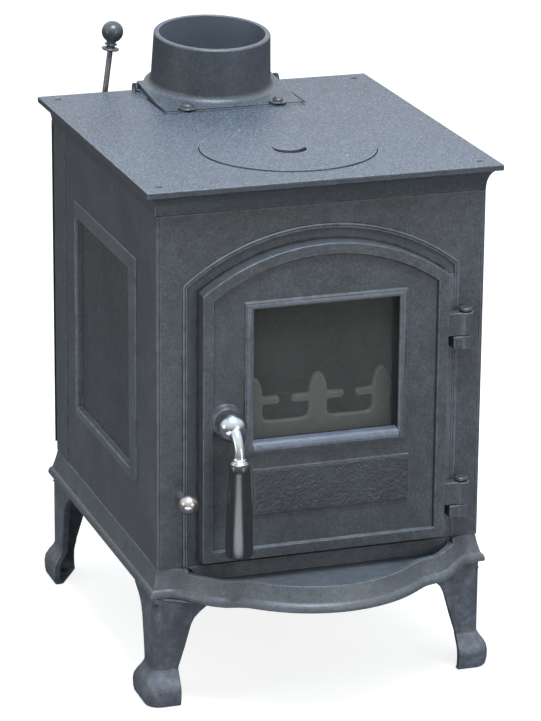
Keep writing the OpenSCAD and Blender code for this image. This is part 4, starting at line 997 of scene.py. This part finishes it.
def fastenerTree():
    tree = Growth("fasteners", {"Head": "Object", "Seed": "Int"})
    aim = tree.add("GeometryNodeInputNamedAttribute", {"data_type": "FLOAT_VECTOR"}, {"Name": "aim"})
    way = tree.add("FunctionNodeAlignRotationToVector", {"axis": "Z"}, {"Vector": aim})
    values = {"Object": tree.given("Head")}
    head = tree.add("GeometryNodeObjectInfo", {"transform_space": "ORIGINAL"}, values, output="Geometry")
    values = {"Points": tree.given("Geometry"), "Instance": head, "Rotation": way}
    placed = tree.add("GeometryNodeInstanceOnPoints", values=values)
    values = {2: 0.0, 3: 2 * math.pi, 8: tree.given("Seed")}
    spin = tree.add("FunctionNodeRandomValue", {"data_type": "FLOAT"}, values, output=1)
    turn = tree.add("ShaderNodeCombineXYZ", values={0: 0.0, 1: 0.0, 2: spin})
    values = {"Instances": placed, "Rotation": turn, "Local Space": True}
    tree.close(tree.add("GeometryNodeRotateInstances", values=values))
    return tree


def boltHead(look):
    # washer, low hexagon or round head, and the shank below it
    shape = bmesh.new()
    washer, thick, head, high = look["washer"], look["washerThick"], look["head"], look["height"]
    if washer:
        addTurned(shape, [(0, 0), (washer - 0.3 * mm, 0), (washer, 0.3 * mm), (washer, thick - 0.4 * mm),
                          (washer - 0.5 * mm, thick), (0, thick)])
    top = thick + high
    if look["hexagon"]:
        addTurned(shape, [(0, thick), (head, thick), (head, top - 0.8 * mm), (head * 0.86, top), (0, top)],
                  sides=6)
    else:
        dome = [(0, thick), (head, thick), (head, thick + high * 0.3)]
        for turn in [math.radians(15 * k) for k in range(1, 6)]:
            dome.append((head * math.cos(turn), thick + high * (0.3 + 0.7 * math.sin(turn))))
        addTurned(shape, dome + [(0, top)], sides=32)
    shank, tucked = look["shank"], 0.2 * mm
    addTurned(shape, [(0, -look["length"]), (shank, -look["length"]), (shank, tucked), (0, tucked)], sides=24)
    return pieceFrom(shape, "head", 35)


def countersunkHead(look):
    # flat head with a cross recess, on its shank
    shape = bmesh.new()
    shank, head = look["shank"], look["head"]
    addTurned(shape, [(0, -look["length"]), (shank, -look["length"]), (shank, -look["height"]),
                      (head, -0.4 * mm), (head, -0.1 * mm), (head - 0.3 * mm, 0), (head * 0.55, 0),
                      (head * 0.3, -0.9 * mm), (0, -1.0 * mm)], sides=32)
    return pieceFrom(shape, "head", 35)


def solidsOf(node):
    # the points of each separate solid of a node
    shape = weldedCopy(node)
    left, solids = set(shape.verts), []
    while left:
        heap, found = [next(iter(left))], set()
        while heap:
            vert = heap.pop()
            if vert not in found:
                found.add(vert)
                heap += [edge.other_vert(vert) for edge in vert.link_edges]
        left -= found
        solids.append([vert.co.copy() for vert in found])
    shape.free()
    return solids


def topOf(points, aim):
    # where the axis of a bolt meets the top of its head
    low = Vector([min(p[i] for p in points) for i in range(3)])
    high = Vector([max(p[i] for p in points) for i in range(3)])
    middle = (low + high) / 2
    return middle + aim * max((p - middle).dot(aim) for p in points)


screwLook = {
    "aim": (0, 1, 0),
    "countersunk": False,
    "hexagon": False,
    "washer": 0.0,
    "washerThick": 0.0,
    "body": "stove",
    "slot": "steel",
    "finish": plainSteel,
}
fastenerSets = {
    "flue_bolts": dict(screwLook, head=6.2 * mm, height=4.2 * mm, washer=10.5 * mm, washerThick=1.5 * mm,
                       shank=2.9 * mm, length=14 * mm, aim=(0, -math.sin(flueLean), math.cos(flueLean)),
                       slot="dark_steel", finish=knobIron),
    "leg_bolts": dict(screwLook, hexagon=True, head=7.5 * mm, height=5 * mm, shank=3.9 * mm, length=34 * mm,
                      aim=(0, 0, -1)),
    "shield_screws": dict(screwLook, head=5 * mm, height=2.8 * mm, shank=2.3 * mm, length=22 * mm),
    "keeper_screws": dict(screwLook, head=4 * mm, height=2.2 * mm, shank=1.9 * mm, length=5 * mm),
    "clip_screws": dict(screwLook, head=4 * mm, height=2.4 * mm, shank=1.9 * mm, length=8 * mm, body="door"),
    "corner_screws": dict(screwLook, countersunk=True, head=3.8 * mm, height=2.4 * mm, shank=2.4 * mm,
                          length=40 * mm, aim=(0, 0, 1), slot="dark_steel", finish=sootAndShadeIron),
}
fasteners = fastenerTree()
for number, (node, look) in enumerate(fastenerSets.items()):
    flush = look["countersunk"]
    head = countersunkHead(look) if flush else boltHead(look)
    aim = Vector(look["aim"])
    deep = 0 if flush else look["washerThick"] + look["height"]
    points = [topOf(solid, aim) - aim * deep for solid in solidsOf(node)]
    points.sort(key=lambda p: tuple(round(c, 4) for c in p))
    host = meshFrom(node + "_points", points, [])
    facing = host.attributes.new("aim", "FLOAT_VECTOR", "POINT")
    for i in range(len(points)):
        facing.data[i].vector = aim
    values = {"Head": head, "Seed": number, "Finish": look["finish"]}
    bolts = fasteners.grow(node + "_set", host, values)
    bpy.data.objects.remove(head)
    dress(bolts, look["body"], look["slot"], look["finish"], [node])
    print("scattered", node, len(points))


# turned fittings: the grip, its ferrule, the ball knobs and the lever's urn-shaped knob

gripLook = {
    "length": 0.1041,
    "endRadius": 0.0157,
    "topRadius": 0.0108,
    "edge": 0.0022,
    "swell": 0.9 * mm,
    "steps": 14,
}


def makeGrip(look):
    end, top, edge, long = look["endRadius"], look["topRadius"], look["edge"], look["length"]
    swell, steps = look["swell"], look["steps"]
    profile = [(0, 0)] + arc((end - swell - edge, edge), edge, -90, 0, 6)
    for t in [i / steps for i in range(1, steps + 1)]:
        bulge = swell * math.sin(math.pi * min(1.0, t * 2.2) / 2)
        radius = end - swell + bulge + (top - end) * t ** 1.25
        profile.append((radius, edge + (long - edge - 1.2 * mm) * t))
    profile += [(top - 1.0 * mm, long), (0, long)]
    makeTurned("handle_grip_turned", profile, middleOf("handle_grip"), "handle", "black_wood", blackWood,
               ["handle_grip"], sides=64)


ferruleLook = {
    # radius and height pairs from the grip up to the crank's neck, in millimetres
    "profile": [(0, 2.0), (10.2, 2.0), (10.9, 2.5), (11.0, 3.2), (10.9, 4.4), (10.3, 4.9), (9.7, 5.1),
                (9.9, 5.4), (9.6, 5.9), (8.6, 6.5), (8.0, 7.0), (0, 7.0)],
}


def makeFerrule(look):
    profile = [(r * mm, h * mm) for r, h in look["profile"]]
    makeTurned("handle_ferrule_turned", profile, middleOf("handle_ferrule"), "handle", "chrome", chrome,
               ["handle_ferrule"], sides=64)


crankLook = {
    "ballRadius": 0.015,
    "seenRadius": 0.0163,
    # the collar behind the ball: radius, and how far short of the ball's back, in millimetres
    "collar": [(0, 4.5), (9.4, 4.5), (10.0, 1.5), (10.4, 0.4), (0, 0.4)],
    "bend": 0.026,
    "bendShare": 0.86,  # of the neck's steps, the rest run straight down
    "rootRadius": 0.0105,
    "waist": 0.0061,
    "waistShare": 0.62,
    "footRadius": 0.0090,
    "steps": 26,
}


def makeCrank(look):
    # a ball on the spindle, a neck that bends forward and down, and a flared foot on the ferrule
    ball, bend, root, waist = look["ballRadius"], look["bend"], look["rootRadius"], look["waist"]
    bent, slim = look["bendShare"], look["waistShare"]
    axis, gripAt, _ = middleOf("handle_grip")
    height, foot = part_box("handle_crank")[1][2] - ball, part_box("handle_ferrule")[1][2]
    middle = (axis, gripAt + bend, height)
    shape = bmesh.new()
    addTurned(shape, arc((0, 0), look["seenRadius"], -90, 90, 28), middle, (0, 1, 0), 64)
    addTurned(shape, [(r * mm, ball - h * mm) for r, h in look["collar"]], middle, (0, 1, 0))
    centres, radii = [], []
    for t in [i / look["steps"] for i in range(look["steps"] + 1)]:
        turn = math.radians(90) * min(1.0, t / bent)
        drop = max(0.0, t - bent) / (1 - bent)
        z = height - bend + bend * math.cos(turn) + (foot - height + bend) * drop
        centres.append(Vector((axis, middle[1] - bend * math.sin(turn), z)))
        narrow = root + (waist - root) * math.sin(math.pi / 2 * min(1, t / slim))
        flare = (look["footRadius"] - waist) * max(0.0, (t - slim) / (1 - slim)) ** 2.2
        radii.append(narrow + flare)
    addSwept(shape, centres, radii, 40)
    dress(pieceFrom(shape, "handle_crank_cast", 50), "handle", "chrome", chrome, ["handle_crank"])


knobLook = {
    "radius": 0.011,
    "neck": 0.0058,
    "sides": 56,
}


def makeRiddlingKnob(look):
    low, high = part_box("riddling_knob")
    radius, neck = look["radius"], look["neck"]
    middle = ((low[0] + high[0]) / 2, low[1] + radius, (low[2] + high[2]) / 2)
    long = high[1] - middle[1]
    profile = arc((0, 0), radius, -90, 56, 22) + [(neck, radius * 0.86), (neck * 0.92, long), (0, long)]
    makeTurned("riddling_knob_turned", profile, middle, "riddle", "brushed_nickel", nickel, ["riddling_knob"],
               (0, 1, 0), look["sides"])


leverKnobLook = {
    # below the ball, in millimetres from its middle: the thin disc, the waist and the ring under the ball
    "stem": [(0, -22.4), (3.4, -22.4), (4.0, -22.2), (8.8, -21.8), (9.9, -20.9), (10.4, -19.9),
             (10.0, -19.2), (8.4, -18.6), (6.0, -18.2), (4.9, -17.3), (4.7, -16.6), (5.4, -15.9),
             (6.9, -15.3), (7.4, -14.5), (6.9, -13.7), (5.6, -13.2), (5.2, -12.6), (5.6, -11.8)],
    "radius": 12.5 * mm,
    "lean": 7.7,
    "sides": 56,
}


def makeLeverKnob(look):
    low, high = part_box("lever_knob")
    lean, radius = math.radians(look["lean"]), look["radius"]
    up = Vector((math.sin(lean), 0, math.cos(lean)))
    middle = Vector((high[0] - radius, (low[1] + high[1]) / 2, high[2] - radius))
    profile = [(r * mm, h * mm) for r, h in look["stem"]] + arc((0, 0), radius, -64, 90, 24)
    makeTurned("lever_knob_turned", profile, middle, "damper", "cast_iron", knobIron, ["lever_knob"],
               up, look["sides"])


makeGrip(gripLook)
makeFerrule(ferruleLook)
makeCrank(crankLook)
makeRiddlingKnob(knobLook)
makeLeverKnob(leverKnobLook)
print("turned fittings made")

finishes = {
    "cast_iron": iron, "dark_steel": darkSteel, "steel": plainSteel, "sheet_steel": sheetSteel,
    "fire_brick": fireBrick, "inner_iron": innerIron, "brushed_nickel": nickel, "ceramic_glass": ceramicGlass,
    "glass_fibre": glassFibre, "chrome": chrome, "black_wood": blackWood,
}
slotOf = {part["node"]: part["material_slot"] for part in frame["record"]["subparts"]}
for node, piece in parts.items():
    if not piece.hide_render:
        piece.data.materials.clear()
        piece.data.materials.append(finishes[slotOf[node]])
print("nodes finished")


# camera, floor and light

cameraLook = {
    "place": (-1.21815, -3.59222, 1.56508),
    "yaw": 0.32819,
    "pitch": 0.31729,
    "roll": 0.008168,
    "focalPixels": 3532.4,
    "imageHeight": 721,
    "sensor": 36.0,
}


def makeCamera(look):
    data = bpy.data.cameras.new("camera")
    data.sensor_fit = "AUTO"
    data.sensor_width = look["sensor"]
    data.lens = look["focalPixels"] * look["sensor"] / look["imageHeight"]
    data.clip_start = 0.1
    data.clip_end = 50
    yaw, pitch, roll = look["yaw"], look["pitch"], look["roll"]
    ahead = Vector((math.sin(yaw) * math.cos(pitch), math.cos(yaw) * math.cos(pitch), -math.sin(pitch)))
    level = Vector((math.cos(yaw), -math.sin(yaw), 0))
    upright = level.cross(ahead)
    right = math.cos(roll) * level + math.sin(roll) * upright
    up = math.cos(roll) * upright - math.sin(roll) * level
    turn = Matrix((right, up, -ahead)).transposed().to_4x4()
    camera = bpy.data.objects.new("camera", data)
    camera.matrix_world = Matrix.Translation(look["place"]) @ turn
    bpy.context.scene.collection.objects.link(camera)
    bpy.context.scene.camera = camera


makeCamera(cameraLook)

studio = {
    "floorSize": 30.0,
    "floorGlow": 0.80,
    "floorColour": grey(0.52, 0.53, 0.53),
    "floorMirror": grey(0.17, 0.17, 0.18),
    "skyLow": 0.24,
    "skyHigh": 0.9,
    "horizonTint": grey(1.0, 0.93, 0.82),
    "skyTint": grey(0.76, 0.89, 1.0),
    "sideTilt": 0.3,
    "mirrorLow": 0.08,
    "mirrorHigh": 1.7,
}


def makeSheet(name, x, y):
    corners = [(-x, -y, 0), (x, -y, 0), (x, y, 0), (-x, y, 0)]
    return makeObject(name, meshFrom(name, corners, [(0, 1, 2, 3)]))


def makeFloor(look):
    floor = makeSheet("floor", look["floorSize"] / 2, look["floorSize"] / 2)
    finish = Finish("paleFloor")
    eye, gloss = finish.rays("Is Camera Ray", "Is Glossy Ray")
    colour = finish.blend(gloss, look["floorColour"], look["floorMirror"])
    lit = finish.add("ShaderNodeBsdfDiffuse", values={"Color": colour})
    seen = {"Color": grey(1, 1, 1), "Strength": look["floorGlow"]}
    glow = finish.add("ShaderNodeEmission", values=seen)
    both = finish.add("ShaderNodeAddShader", values={0: lit, 1: glow})
    surface = finish.add("ShaderNodeMixShader", values={0: eye, 1: lit, 2: both})
    floor.data.materials.append(finish.close(surface))


cardLook = {
    # a bright reflector lying on the floor before the stove, mirrored in the grip and the chrome
    "middle": (-0.46, -1.0, 1 * mm),
    "width": 0.78,
    "length": 0.8,
    "turn": -22,
    "strength": 5.6,
    "mirrored": grey(0.83, 0.93, 1.0),
    "plain": 0.6,
}


def makeCard(look):
    turn = Matrix.Rotation(math.radians(look["turn"]), 4, "Z")
    card = makeSheet("reflector", look["width"] / 2, look["length"] / 2)
    card.data.transform(Matrix.Translation(look["middle"]) @ turn)
    finish = Finish("reflectorCard")
    eye, gloss = finish.rays("Is Camera Ray", "Is Glossy Ray")
    strength = gloss * (look["strength"] - look["plain"]) + look["plain"] + eye * (1 - look["plain"])
    colour = finish.blend(gloss, grey(1, 1, 1), look["mirrored"])
    glow = finish.add("ShaderNodeEmission", values={"Color": colour, "Strength": strength})
    card.data.materials.append(finish.close(glow))


def makeWorld(look):
    # a sky that is brighter and bluer overhead and dimmer on the left; white to the camera
    world = bpy.data.worlds.new("studio")
    bpy.context.scene.world = world
    world.use_nodes = True
    graph = Graph(world.node_tree)
    graph.tree.nodes.clear()
    eye, gloss, through = graph.rays("Is Camera Ray", "Is Glossy Ray", "Is Transmission Ray")
    x, y, z = graph.split(graph.add("ShaderNodeTexCoord", output="Generated"))
    rise = graph.between(z, 0.0, 0.9)
    sky = (rise * (look["skyHigh"] - look["skyLow"]) + look["skyLow"]) * (x * look["sideTilt"] + 1)
    mirrored = graph.between(z, -0.1, 0.6) * (look["mirrorHigh"] - look["mirrorLow"]) + look["mirrorLow"]
    white = eye.maths("MAXIMUM", through)
    soft = sky * (1 - gloss) + mirrored * gloss
    strength = soft * (1 - white) + white
    tint = graph.blend(rise, look["horizonTint"], look["skyTint"])
    colour = graph.blend(white, tint, grey(1, 1, 1))
    light = graph.add("ShaderNodeBackground", values={"Color": colour, "Strength": strength})
    graph.add("ShaderNodeOutputWorld", values={"Surface": light})


lamps = {
    # name: place, aim, width, power, colour
    "skylight": ((-0.05, -0.65, 2.4), (0.0, 0.0, 0.4), 0.9, 58, (0.76, 0.89, 1.0)),
    "frontFill": ((1.1, -2.7, 0.9), (0.0, 0.0, 0.3), 0.8, 11, (1.0, 0.98, 0.95)),
    "windowSide": ((-2.8, -0.35, 0.9), (0.0, 0.0, 0.3), 0.8, 10, (1.0, 0.92, 0.76)),
}


def makeLamp(name, place, aim, width, power, colour):
    data = bpy.data.lights.new(name, "AREA")
    data.shape = "SQUARE"
    data.size = width
    data.energy = power
    data.color = colour
    lamp = bpy.data.objects.new(name, data)
    lamp.location = place
    lamp.rotation_euler = (Vector(aim) - Vector(place)).to_track_quat("-Z", "Y").to_euler()
    bpy.context.scene.collection.objects.link(lamp)


makeFloor(studio)
makeCard(cardLook)
makeWorld(studio)
for name, lamp in lamps.items():
    makeLamp(name, *lamp)
bpy.context.scene.view_settings.view_transform = "Standard"
print("camera, floor and light made")
